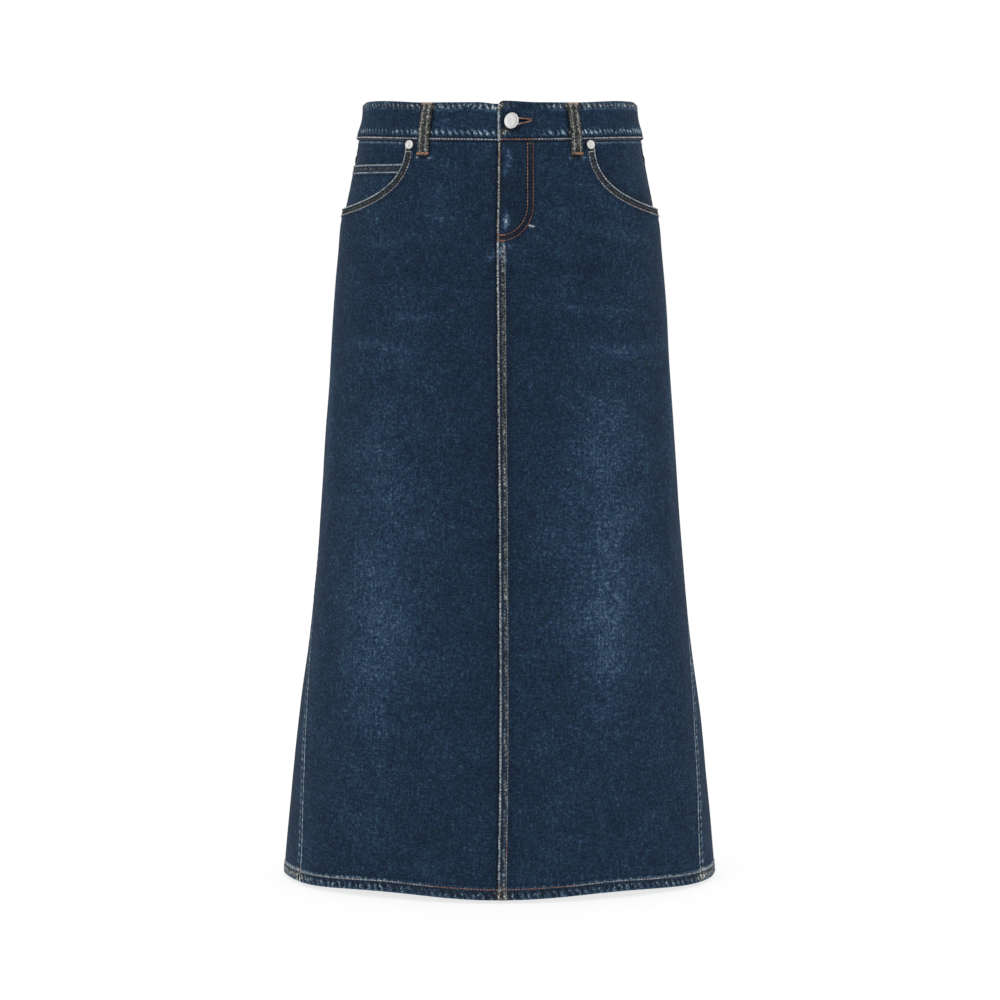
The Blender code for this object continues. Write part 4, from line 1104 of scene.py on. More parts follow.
def sewing_thread(colours):
    """Corespun polyester and cotton sewing thread, dyed tan and rust and washed pale: softly fuzzy, with a
    low gloss. The mark goes from 0, soiled and dull, through 0.4, washed pale, and 0.7, tan, to 1, rust."""
    material, tree = blank("corespun_thread")
    dye = add(tree, "ShaderNodeAttribute", attribute_name="dye")["Fac"]
    place_in = add(tree, "ShaderNodeTexCoord")["Object"]
    # Fuzz of 2.4 mm, soil in patches of 5 mm, and changes of the dye over 11 mm.
    fuzz, soil, change = [
        add(tree, "ShaderNodeTexNoise", {"Vector": place_in, "Scale": scale, "Detail": detail,
                                         "Roughness": rough})["Fac"]
        for scale, detail, rough in ((420, 3, 0.6), (190, 2, 0.5), (90, 2, 0.5))]
    left = add(tree, "ShaderNodeMath", {0: change, 1: 0.5, 2: -0.25}, operation="MULTIPLY_ADD")[0]
    left = add(tree, "ShaderNodeMath", {0: left, 1: dye}, operation="ADD", use_clamp=True)[0]
    colour = add(tree, "ShaderNodeValToRGB", {"Fac": left}, stops=(
        (0.0, colours.dull_thread),
        (1.0, colours.rust_thread),
        (0.4, colours.pale_thread),
        (0.7, colours.tan_thread),
    ))[0]
    soil = add(tree, "ShaderNodeMapRange", {"Value": soil, "From Min": 0.36, "From Max": 0.60,
                                            "To Min": 0.42})[0]
    darker = add(tree, "ShaderNodeMapRange", {"Value": fuzz, "From Min": 0.3, "From Max": 0.7, "To Min": 0.45,
                                              "To Max": 1.2})[0]
    darker = add(tree, "ShaderNodeMath", {0: darker, 1: soil}, operation="MULTIPLY")[0]
    colour = add(tree, "ShaderNodeMix", {0: 1.0, 6: colour, 7: darker}, data_type="RGBA",
                 blend_type="MULTIPLY")[2]
    bump = add(tree, "ShaderNodeBump", {"Height": fuzz, "Strength": 0.5, "Distance": 0.15 * MM})[0]
    surface = add(tree, "ShaderNodeBsdfPrincipled", {
        "Base Color": colour, "Roughness": 0.7, "Normal": bump, "Specular IOR Level": 0.35,
        "Sheen Weight": 0.2})[0]
    add(tree, "ShaderNodeOutputMaterial", {"Surface": surface})
    return material


def plated_metal(colours):
    """Nickel-plated brass, tumbled: a bright grey metal with fine pits, duller where the wash dulled it."""
    material, tree = blank("nickel_plated_brass")
    place_in = add(tree, "ShaderNodeTexCoord")["Object"]
    pits = add(tree, "ShaderNodeTexNoise", {"Vector": place_in, "Scale": 1500, "Detail": 3})["Fac"]
    stain = add(tree, "ShaderNodeTexNoise", {"Vector": place_in, "Scale": 260, "Detail": 3})["Fac"]
    colour = add(tree, "ShaderNodeMix", {0: stain, 6: colours.dull_metal, 7: colours.bright_metal},
                 data_type="RGBA")[2]
    rough = add(tree, "ShaderNodeMapRange", {"Value": stain, "To Min": 0.30, "To Max": 0.52})[0]
    bump = add(tree, "ShaderNodeBump", {"Height": pits, "Strength": 0.35, "Distance": 0.06 * MM})[0]
    surface = add(tree, "ShaderNodeBsdfPrincipled", {
        "Base Color": colour, "Metallic": 1.0, "Roughness": rough, "Normal": bump})[0]
    add(tree, "ShaderNodeOutputMaterial", {"Surface": surface})
    return material


def material_named(name, maker, *extra):
    """The material of this name, made the first time that it is asked for."""
    return bpy.data.materials.get(name) or maker(bpy.context.scene.skirt_colours, *extra)


def cloth_materials():
    """The outer and inner faces' materials."""
    outside = material_named("washed_indigo_denim", denim_face)
    return outside, material_named("denim_inside", denim_back)


# A stitch is a tube of this many sides and rings. Its rings lie at these shares of the pitch along it, stand
# off the cloth by these shares of its thickness, and have these shares of its radius.
STITCH_SIDES = 6
STITCH_STEPS = np.array([-0.41, -0.32, 0.0, 0.32, 0.41])
STITCH_LIFT = np.array([-0.9, 0.25, 0.8, 0.25, -0.9])
STITCH_SIZE = np.array([0.7, 0.95, 1.0, 0.95, 0.7])
STITCH_POINTS = STITCH_SIDES * len(STITCH_STEPS)
STITCH_SLANT = 0.12 * MM


def stitches(surface, path, dye, pitch=None, thread=None, raised=0.5):
    """Points and dye marks of a row of stitches: tubes along the path on a surface, each diving into the
    cloth at its ends. The surface turns two distances and a lift into points. The dye is one mark or
    several, spread evenly along the row."""
    sizes = bpy.context.scene.skirt_sizes
    pitch = pitch or sizes.stitch_pitch
    radius = (thread or sizes.thread_width) / 2
    first, second = path
    run = np.concatenate([[0], np.cumsum(np.hypot(np.diff(first), np.diff(second)))])
    count = max(int(run[-1] / pitch), 1)
    middle = (np.arange(count) + 0.5) * run[-1] / count
    steps = STITCH_STEPS * pitch
    lift = STITCH_LIFT * radius * 2 * raised
    size = STITCH_SIZE * radius
    at = middle[:, None] + steps
    a, b = np.interp(at, run, first), np.interp(at, run, second)
    base = surface(a, b, 0.0)
    normal = surface(a, b, 1 * MM) - base
    normal = normal / np.linalg.norm(normal, axis=-1, keepdims=True)
    tangent = np.gradient(base, axis=1)
    tangent = tangent / np.linalg.norm(tangent, axis=-1, keepdims=True)
    beside = np.cross(tangent, normal)
    centre = base + normal * lift[:, None] + beside * (STITCH_SLANT * steps / pitch)[:, None]
    turn = np.linspace(0, 2 * math.pi, STITCH_SIDES, endpoint=False)
    ring = beside[:, :, None] * np.cos(turn)[:, None] + normal[:, :, None] * np.sin(turn)[:, None]
    points = centre[:, :, None] + ring * size[:, None, None]
    dye = np.atleast_1d(np.asarray(dye, float))
    marks = np.interp(np.linspace(0, 1, count), np.linspace(0, 1, len(dye)), dye)
    return points, np.repeat(marks[:, None], STITCH_POINTS, axis=1)


def thread_piece(name, rows):
    """One piece from many rows of stitches: a tube of quads for each stitch, closed at both ends."""
    points, marks = (np.concatenate(values) for values in zip(*rows))
    side = np.arange(STITCH_SIDES)
    after = (side + 1) % STITCH_SIDES
    last = STITCH_POINTS - STITCH_SIDES
    near = np.arange(0, last, STITCH_SIDES)[:, None]
    far = near + STITCH_SIDES
    tube = np.stack([near + side, near + after, far + after, far + side], axis=-1).reshape(-1, 4)
    offset = np.arange(len(points))[:, None, None] * STITCH_POINTS
    quads = (tube[None] + offset).reshape(-1, 4)
    caps = np.stack([side[::-1], side + last])[None] + offset
    faces = quads.tolist() + caps.reshape(-1, STITCH_SIDES).tolist()
    thread = material_named("corespun_thread", sewing_thread)
    obj = new_object(name, points.reshape(-1, 3).tolist(), faces, thread)
    set_mark(obj.data, "dye", marks)
    obj.data.shade_smooth()
    declare(obj, name, None)


def on(face, *piece):
    """The outer face of the piece that a face function makes, as a surface of distances across and down and
    of a lift: the point that far out from it."""

    def surface(across, down, lift):
        angle, outer, *_ = face(*piece, across, down)
        return place(angle, down, outer + lift)

    return surface


def on_band(along, above_edge, lift):
    """The waistband's outer face as a surface of distances along it and above its lower edge."""
    turn = along / BAND_RADIUS
    top, bottom = band_face(turn, 0.0)[0], waist_seam(turn)
    down, outer, *_ = band_face(turn, 1 - above_edge / (bottom - top))
    return place(turn, down, outer + lift)


def loop_rows(degrees, relief):
    """A belt loop's side view: distances down and inner offsets, a smooth line through its folds."""
    middle = math.radians(degrees)
    top, seam = float(top_line(middle)), float(waist_seam(middle))
    on_cloth = BAND_OUT + SEAM_GAP
    down = np.concatenate([top + np.array([0.6, 5, 11]) * MM, seam + np.array([-9, 1, 8, 13.5, 16.5]) * MM])
    inner = [on_cloth, on_cloth, BAND_OUT + LOOP_STAND, BAND_OUT + LOOP_STAND, on_cloth + relief + 0.5 * MM,
             SEAM_GAP + relief + 0.9 * MM, SEAM_GAP + relief, SEAM_GAP + relief]
    fine = np.linspace(down[0], down[-1], 64)
    line = np.interp(fine, down, inner)
    kernel = np.hanning(9) / np.hanning(9).sum()
    padded = np.concatenate([np.full(4, line[0]), line, np.full(4, line[-1])])
    return fine, np.convolve(padded, kernel, mode="valid")


def loop_face(degrees, relief, across, down):
    """A belt loop at distances across it and down: angle, offsets and marks. Two soft beaded ridges run along
    it, one under each row of stitches."""
    fine, line = loop_rows(degrees, relief)
    middle = math.radians(degrees)
    sides = place(middle + np.array([-0.5, 0.5]), BAND_AT_SIDE, 0.0)
    angle = middle + across / np.linalg.norm(sides[1] - sides[0])
    inner = np.interp(down, fine, line)
    bead = ropes(down, across, 3.4 * MM, 16.0 + degrees / 50)
    crown = 0.5 - 0.5 * np.cos(2 * math.pi * across / LOOP_HALF_WIDTH)
    tuck = rolled(LOOP_HALF_WIDTH - np.abs(across), 0.95 * MM)
    ends = rolled(np.minimum(down - fine[0], fine[-1] - down), 0.9 * MM)
    outer = inner + LOOP_WALL + (0.44 * crown - 0.22 + 0.10 * bead) * MM - tuck - ends
    rub = 0.32 + 0.46 * crown * (0.85 + 0.25 * bead) + 0.25 * spot(down - fine[0], 2.5 * MM)
    # The loop's cloth is darker overall, with painted shade in the hollow down its middle and along its rolled
    # edges.
    shade = -0.38 - 0.50 * spot(across, 0.9 * MM) - 0.50 * spot(np.abs(across) - LOOP_HALF_WIDTH, 0.9 * MM)
    return angle, outer, inner + tuck * 0.6, marks_of(rub, shade)


def straight(first, second, count=60):
    """A straight path between two (first, second) pairs of distances."""
    return np.linspace(first[0], second[0], count), np.linspace(first[1], second[1], count)


def tack(surface, first, second, width, dye, pitch=0.62 * MM, thread=0.75 * MM):
    """A bar tack: close parallel stitches of the given width, side by side from one place to another."""
    run = math.hypot(second[0] - first[0], second[1] - first[1])
    count = max(int(run / pitch), 2)
    beside = (-(second[1] - first[1]) / run * width / 2, (second[0] - first[0]) / run * width / 2)
    rows = []
    for share in np.linspace(0, 1, count):
        x, y = first[0] + (second[0] - first[0]) * share, first[1] + (second[1] - first[1]) * share
        path = straight((x - beside[0], y - beside[1]), (x + beside[0], y + beside[1]), 8)
        rows.append(stitches(surface, path, dye, pitch=width, thread=thread, raised=0.9))
    return rows


def turned_piece(node, profile, angle, down, out, turn, steps, join=()):
    """Round metal from smooth profiles of (radius, height) in mm carried round an axis that stands on the
    cloth: each point is the place plus its height along the axis plus its radius round it."""
    normal = Vector(form_normal(np.array(angle), np.array(down)).tolist())
    heading = math.atan2(normal.y, normal.x) + turn
    flat = math.hypot(normal.x, normal.y)
    axis = np.array([flat * math.cos(heading), flat * math.sin(heading), normal.z])
    origin = place(angle, down, out)
    points, faces = [], []
    for line, direction in ((profile, axis), *join):
        line = np.array(line, float) * MM
        beside = np.cross([0, 0, 1], direction)
        beside = beside / np.linalg.norm(beside)
        upward = np.cross(direction, beside)
        around = np.linspace(0, 2 * math.pi, steps, endpoint=False)
        ring = np.cos(around)[:, None] * beside + np.sin(around)[:, None] * upward
        start = sum(len(p) for p in points)
        out_along, out_round = line[:, None, 1:] * direction, line[:, None, :1] * ring[None]
        points.append((origin + out_along + out_round).reshape(-1, 3))
        index = start + np.arange(len(line) * steps).reshape(len(line), steps)
        after = np.roll(index, -1, axis=1)
        quads = np.stack([index[:-1], index[1:], after[1:], after[:-1]], axis=-1).reshape(-1, 4)
        faces += quads.tolist() + [index[0].tolist(), index[-1][::-1].tolist()]
    plating = material_named("nickel_plated_brass", plated_metal)
    obj = new_object(f"{node}_metal", np.concatenate(points).tolist(), faces, plating)
    obj.data.shade_smooth()
    obj.data.set_sharp_from_angle(angle=math.radians(50))
    declare(obj, node, "metal")


def rounded(points, count):
    """A smooth profile through a few (radius, height) points: a Catmull-Rom curve with even shares."""
    p = np.array(points, float)
    p = np.concatenate([2 * p[:1] - p[1:2], p, 2 * p[-1:] - p[-2:-1]])
    at = np.linspace(0, len(points) - 1, count)
    i = np.clip(at.astype(int), 0, len(points) - 2)
    t = (at - i)[:, None]
    a, b, c, d = p[i], p[i + 1], p[i + 2], p[i + 3]
    return 0.5 * (2 * b + (c - a) * t + (2 * a - 5 * b + 4 * c - d) * t**2 + (3 * b - a - 3 * c + d) * t**3)


class SkirtSizes(bpy.types.PropertyGroup):
    """Sizes of the sewing that a user would change."""

    stitch_pitch: bpy.props.FloatProperty(
        name="Stitch pitch", description="Distance from one topstitch to the next", default=3.6 * MM,
        min=1 * MM, max=8 * MM, precision=4, unit="LENGTH")
    thread_width: bpy.props.FloatProperty(
        name="Thread width", description="Width of the topstitching thread", default=1.0 * MM,
        min=0.3 * MM, max=2 * MM, precision=5, unit="LENGTH")
    floor_below_hem: bpy.props.FloatProperty(
        name="Floor below hem", description="Gap between the hem and the floor", default=4 * MM,
        min=0.0, max=1.0, precision=4, unit="LENGTH")


class SkirtColours(bpy.types.PropertyGroup):
    """Colours of the cloth, thread, metal and floor that a user would change."""

    # The darkest stop of the dye. Painted shade reaches it under laps, round the metal, in folds and between
    # stitches, as well as the dye of unworn seams.
    deep_indigo: bpy.props.FloatVectorProperty(
        name="Deep indigo", description="Dye in creases and unworn seams", size=4, subtype="COLOR",
        default=linear("#0b1425"))
    indigo: bpy.props.FloatVectorProperty(
        name="Indigo", description="Main colour of the cloth", size=4, subtype="COLOR",
        default=linear("#14253a"))
    washed_indigo: bpy.props.FloatVectorProperty(
        name="Washed indigo", description="Cloth where the wash paled it", size=4, subtype="COLOR",
        default=linear("#2a3e5a"))
    worn_indigo: bpy.props.FloatVectorProperty(
        name="Worn indigo", description="Ridges rubbed by wear", size=4, subtype="COLOR",
        default=linear("#637680"))
    bare_cotton: bpy.props.FloatVectorProperty(
        name="Bare cotton", description="Undyed cores of the yarn", size=4, subtype="COLOR",
        default=linear("#aab5bc"))
    teal_cast: bpy.props.FloatVectorProperty(
        name="Teal cast", description="Green cast left by the wash", size=4, subtype="COLOR",
        default=linear("#1f4149"))
    grey_cast: bpy.props.FloatVectorProperty(
        name="Grey cast", description="Tint of the soiled cloth between stitches", size=4, subtype="COLOR",
        default=linear("#5c5e5c"))
    dull_thread: bpy.props.FloatVectorProperty(
        name="Dull thread", description="Thread soiled and flattened", size=4, subtype="COLOR",
        default=linear("#606160"))
    pale_thread: bpy.props.FloatVectorProperty(
        name="Pale thread", description="Thread washed pale", size=4, subtype="COLOR",
        default=linear("#c0bfbd"))
    tan_thread: bpy.props.FloatVectorProperty(
        name="Tan thread", description="Thread half washed out", size=4, subtype="COLOR",
        default=linear("#ae7d62"))
    rust_thread: bpy.props.FloatVectorProperty(
        name="Rust thread", description="Thread where its dye is left", size=4, subtype="COLOR",
        default=linear("#8c4c40"))
    bright_metal: bpy.props.FloatVectorProperty(
        name="Bright metal", description="Clean plating", size=4, subtype="COLOR", default=linear("#dddcda"))
    dull_metal: bpy.props.FloatVectorProperty(
        name="Dull metal", description="Plating dulled by the wash", size=4, subtype="COLOR",
        default=linear("#b7b7b6"))
    floor: bpy.props.FloatVectorProperty(
        name="Floor", description="Lit acrylic floor", size=4, subtype="COLOR", default=linear("#959595"))


class SKIRT_OT_fronts(bpy.types.Operator):
    """Builds both front panels, with their pocket mouths, fly edge and hem"""

    bl_idname = "skirt.fronts"
    bl_label = "Front panels"

    def execute(self, context):
        mouth_across, mouth_down, _ = mouth_line()
        pick = np.linspace(0, MOUTH_POINTS - 1, 80).round().astype(int)
        upper_rows = ladder((119 * MM, 150 * MM, 10), (153 * MM, 340 * MM, 66), (340 * MM, 842 * MM, 126))
        below_mouth = np.concatenate([upper_rows[:-1], HEM_ROWS])
        right_down = np.concatenate([mouth_down[pick], below_mouth])
        right = np.concatenate([mouth_across[pick], side_distance(below_mouth) - SEAM_GAP / 2])
        left_down = np.interp(right_down, [MOUTH_TOP, MOUTH_TOP + MOUTH_DROP, 150 * MM, 1.0],
                              [BAND_AT_FRONT + 2 * MM, 131 * MM, 150 * MM, 1.0])
        for side, word in SIDES:
            start = drift(left_down) - EDGE_OVERHANG if side > 0 else SEAM_GAP - drift(left_down)
            across = columns_between(start, right, 50)
            share = across / right[:, None]
            down = left_down[:, None] + (right_down - left_down)[:, None] * share
            angle = angle_at(across, down)
            head = waist_seam(angle) + SEAM_GAP / 2
            follow = np.clip(1 - np.arange(len(right)) / 24, 0, 1)[:, None] ** 2
            down = down + (head - down[0]) * follow
            down = np.maximum(down, head)
            down = down + (hem_line(angle) - LENGTH) * smooth(down, HEM_SHAPE_FROM, HEM_SHAPE_TO)
            cloth_piece(f"front_{word}", side, front_face(side, across, down), across, down,
                        cloth_materials())
        return {"FINISHED"}


class SKIRT_OT_backs(bpy.types.Operator):
    """Builds both back panels, from the yoke to the hem"""

    bl_idname = "skirt.backs"
    bl_label = "Back panels"

    def execute(self, context):
        nominal = np.concatenate([ladder((63 * MM, 150 * MM, 24), (154 * MM, 842 * MM, 172))[:-1], HEM_ROWS])
        for side, word in SIDES:
            reach = half_round(nominal) - side_distance(nominal) - SEAM_GAP / 2
            from_centre = columns_between(np.full(len(nominal), SEAM_GAP / 2), reach, 52)
            down = np.repeat(nominal[:, None], from_centre.shape[1], axis=1)
            angle = angle_at(half_round(down) - from_centre, down)
            head = yoke_seam(angle) + SEAM_GAP / 2
            share = np.clip((nominal - nominal[0]) / (150 * MM - nominal[0]), 0, 1)[:, None]
            down = np.where(share < 1, head + (150 * MM - head) * share, down)
            down = down + (hem_line(angle) - LENGTH) * smooth(down, HEM_SHAPE_FROM, HEM_SHAPE_TO)
            cloth_piece(f"back_{word}", side, back_face(side, False, from_centre, down), from_centre, down,
                        cloth_materials())
        return {"FINISHED"}


class SKIRT_OT_yokes(bpy.types.Operator):
    """Builds both halves of the back yoke"""

    bl_idname = "skirt.yokes"
    bl_label = "Yokes"

    def execute(self, context):
        share = ladder((0, 0.8, 18), (0.8, 1, 14))[:, None]
        for side, word in SIDES:
            middle = np.full(len(share), BAND_AT_SIDE) + 20 * MM * share[:, 0]
            reach = half_round(middle) - side_distance(middle) - SEAM_GAP / 2
            from_centre = columns_between(np.full(len(share), SEAM_GAP / 2), reach, 56)
            level = np.repeat(middle[:, None], from_centre.shape[1], axis=1)
            angle = angle_at(half_round(level) - from_centre, level)
            top, bottom = waist_seam(angle) + SEAM_GAP / 2, yoke_seam(angle) - SEAM_GAP / 2
            down = top + (bottom - top) * share
            cloth_piece(f"yoke_{word}", side, back_face(side, True, from_centre, down), from_centre, down,
                        cloth_materials())
        return {"FINISHED"}


class SKIRT_OT_pockets(bpy.types.Operator):
    """Builds the pocket facings behind the mouths, the coin pocket and the strip behind the fly"""

    bl_idname = "skirt.pockets"
    bl_label = "Pockets and fly strip"

    def execute(self, context):
        nominal = np.linspace(BAND_AT_SIDE, FACING_BOTTOM, 40)
        start = np.full(40, MOUTH_FROM_CENTRE - 12 * MM)
        across = start[:, None] + (side_distance(nominal) + 7 * MM - start)[:, None] * np.linspace(0, 1, 44)
        down = np.repeat(nominal[:, None], 44, axis=1)
        angle = angle_at(across, down)
        head = waist_seam(angle) + SEAM_GAP
        down = head + (FACING_BOTTOM - head) * np.linspace(0, 1, 40)[:, None]
        offset = facing_offset(angle, down)
        distance, _ = near_mouth(across, down)
        below_band = down - waist_seam(angle)
        # Painted shade under the mouth's edge, and painted shadow under the waistband.
        shade = wash_and_fold_shade(angle, down) - 0.30 * spot(distance, 6 * MM)
        shade = shade - 0.65 * spot(below_band - 0.2 * MM, 1.2 * MM)
        rub = 0.57 * spot(below_band - 2.6 * MM, 1.3 * MM)
        for side, word in SIDES:
            face = (side * angle, offset, offset - FACING_WALL, marks_of(rub, shade))
            cloth_piece(f"pocket_facing_{word}", side, face, across, down,
                        cloth_materials())
        nominal = COIN_TOP + np.concatenate([
            np.array([0, 0.2, 0.5, 0.9]) * MM,
            ladder((1.5 * MM, 13 * MM, 14), (13.5 * MM, COIN_BOTTOM - COIN_TOP, 20))])
        start = np.full(len(nominal), MOUTH_FROM_CENTRE)
        across = start[:, None] + (side_distance(nominal) - SEAM_GAP - start)[:, None] * np.linspace(0, 1, 44)
        down = nominal[:, None] + coin_dip(across, nominal[:, None])
        cloth_piece("coin_pocket", -1, coin_face(across, down), across, down,
                    cloth_materials())
        nominal = np.linspace(BAND_AT_FRONT, FLY_BOTTOM, 30)[:, None]
        across = np.linspace(-10 * MM, 32 * MM, 16)[None, :] + 0 * nominal
        down = nominal + 0 * across
        angle = angle_at(across, down)
        down = np.maximum(down, waist_seam(angle) + SEAM_GAP)
        outer = np.full(angle.shape, -DENIM - 0.6 * MM)
        face = (angle, outer, outer - 1.1 * MM, marks_of(0 * outer, 0 * outer - 0.2))
        cloth_piece("fly_underlap", 1, face, across, down, cloth_materials())
        return {"FINISHED"}


class SKIRT_OT_waistband(bpy.types.Operator):
    """Builds the waistband, once round from its buttonhole end and on behind it, with the keyhole cut"""

    bl_idname = "skirt.waistband"
    bl_label = "Waistband"

    def execute(self, context):
        round_waist = 2 * math.pi * BAND_RADIUS
        along = np.concatenate([
            -FLAP_PAST_CENTRE + np.array([0, 0.12, 0.4, 0.8, 1.4, 2.2, 3.2, 4.4, 5.7]) * MM,
            ladder((-FLAP_PAST_CENTRE + 7 * MM, round_waist - 24 * MM, 520),
                   (round_waist - 23 * MM, round_waist + 31 * MM, 36)),
            round_waist + UNDERLAP_PAST_CENTRE - np.array([1.2, 0.6, 0.25, 0.0]) * MM])
        share = np.concatenate([
            [0, 0.003, 0.010, 0.020, 0.034],
            ladder((0.055, 0.30, 9), (0.32, 0.68, 9), (0.70, 0.955, 12)),
            [0.968, 0.980, 0.990, 0.997, 1.0]])
        turn = np.repeat(along[None, :] / BAND_RADIUS, len(share), axis=0)
        down, outer, inner, marks = band_face(turn, share[:, None])
        uv = np.stack([down, turn * BAND_RADIUS], axis=-1)
        band = shell("waistband_cloth", place(turn, down, outer), place(turn, down, inner), uv, marks,
                     cloth_materials())
        hole = self.keyhole()
        cut = band.modifiers.new("keyhole", "BOOLEAN")
        cut.operation, cut.solver, cut.object = "DIFFERENCE", "EXACT", hole
        shown = band.evaluated_get(context.evaluated_depsgraph_get())
        finished = bpy.data.meshes.new_from_object(shown)
        if len(finished.polygons) <= len(band.data.polygons) // 2:
            raise RuntimeError("the keyhole cut left too little of the waistband")
        band.modifiers.clear()
        band.data = finished
        bpy.data.objects.remove(hole)
        declare(band, "waistband", "denim")
        return {"FINISHED"}

    def keyhole(self):
        """The buttonhole's cutter: a round end under the button, drawn to a point by the button's pull."""
        across, middle, half_height = keyhole_outline()
        rim = np.concatenate([np.stack([across, middle + half_height], axis=-1),
                              np.stack([across, middle - half_height], axis=-1)[::-1]])
        angle = angle_at(rim[:, 0], rim[:, 1])
        points = np.concatenate([place(angle, rim[:, 1], out) for out in (4 * MM, BAND_IN - 0.5 * MM)])
        count = len(rim)
        near = np.arange(count)
        after = (near + 1) % count
        sides = np.stack([near, after, after + count, near + count], axis=-1)
        faces = sides[:, ::-1].tolist() + [near.tolist(), (near[::-1] + count).tolist()]
        return new_object("keyhole", points.tolist(), faces)


def keyhole_outline():
    """The buttonhole's distances across, its heights and half heights: a round eye, then straight to a point
    that lies higher, as the button pulls it open."""
    across = np.concatenate([BUTTON_FROM_CENTRE - 3 * MM * np.cos(np.linspace(0.2, 1.4, 7)),
                             np.linspace(BUTTON_FROM_CENTRE + 1 * MM, SLIT_END, 12)])
    eye = np.sqrt(np.clip((3 * MM) ** 2 - (across - BUTTON_FROM_CENTRE) ** 2, 0, None))
    middle = np.interp(across, [BUTTON_FROM_CENTRE, SLIT_END], [SLIT_AT_BUTTON, SLIT_AT_END])
    wedge = 3.6 * MM * np.clip((SLIT_END - across) / (SLIT_END - BUTTON_FROM_CENTRE), 0, 1) + 0.2 * MM
    return across, middle, np.where(across < BUTTON_FROM_CENTRE + 1 * MM, np.maximum(eye, 0.4 * MM), wedge)


class SKIRT_OT_belt_loops(bpy.types.Operator):
    """Builds the five belt loops, their stitching and their tacks"""

    bl_idname = "skirt.belt_loops"
    bl_label = "Belt loops"

    def execute(self, context):
        outside = material_named("worn_denim_strip", denim_face, "worn_denim_strip")
        inside = material_named("denim_inside", denim_back)
        rows, tacks = [], []
        for name, degrees, relief in LOOPS:
            fine, _ = loop_rows(degrees, relief)
            near_end = np.array([0, 0.2, 0.5]) * MM
            down = np.concatenate([fine[0] + near_end, fine[1:-1], fine[-1] - near_end[::-1]])
            edge = LOOP_HALF_WIDTH - np.array([0, 0.15, 0.4, 0.8, 1.4, 2.1]) * MM
            across = np.concatenate([-edge, np.linspace(-3.7 * MM, 3.7 * MM, 13), edge[::-1]])
            across, down = np.meshgrid(across, down)
            angle, outer, inner, marks = loop_face(degrees, relief, across, down)
            uv = np.stack([across + math.radians(degrees), -down], axis=-1)
            obj = shell(f"{name}_cloth", place(angle, down, outer), place(angle, down, inner), uv, marks,
                        (outside, inside))
            declare(obj, name, "loop_denim")
            surface = on(loop_face, degrees, relief)
            for x in (-LOOP_HALF_WIDTH / 2, LOOP_HALF_WIDTH / 2):
                rows.append(stitches(surface, straight((x, fine[0] + 3 * MM), (x, fine[-1] - 3 * MM)), 0.26,
                                     thread=1.1 * MM))
            reach = LOOP_HALF_WIDTH - 0.5 * MM
            head, foot = fine[0] + 1.2 * MM, fine[-1] - 1.8 * MM
            tacks += tack(surface, (-reach, foot), (reach, foot), 3.4 * MM, 0.76, thread=0.9 * MM)
            tacks += tack(surface, (-reach, head), (reach, head), 2.0 * MM, 0.60)
        thread_piece("loop_stitching", rows)
        thread_piece("loop_tacks", tacks)
        return {"FINISHED"}


class SKIRT_OT_metal(bpy.types.Operator):
    """Builds the shank button and the two rivets"""

    bl_idname = "skirt.metal"
    bl_label = "Button and rivets"

    def execute(self, context):
        head = rounded(BUTTON_HEAD, 46)
        angle = float(angle_at(BUTTON_FROM_CENTRE, BUTTON_DOWN))
        straight_out = form_normal(np.array(angle), np.array(BUTTON_DOWN))
        low = (BAND_OUT - UNDERLAP_SINK + 0.3 * MM - BUTTON_STAND) / MM
        shank = ((2.2, -0.8), (2.2, -2.4), (2.6, low + 1.2), (3.4, low + 0.3), (3.4, low))
        turned_piece("button", head, angle, BUTTON_DOWN, BUTTON_STAND, -BUTTON_TURN, 72,
                     join=((shank, straight_out),))
        cap = rounded(RIVET_CAP, 34)
        for side, word in SIDES:
            angle = side * float(angle_at(RIVET_FROM_CENTRE, MOUTH_TOP))
            down = float(waist_seam(angle)) + RIVET_BELOW_BAND
            turned_piece(f"rivet_{word}", cap, angle, down, RIVET_SEAT, 0.0, 48)
        return {"FINISHED"}


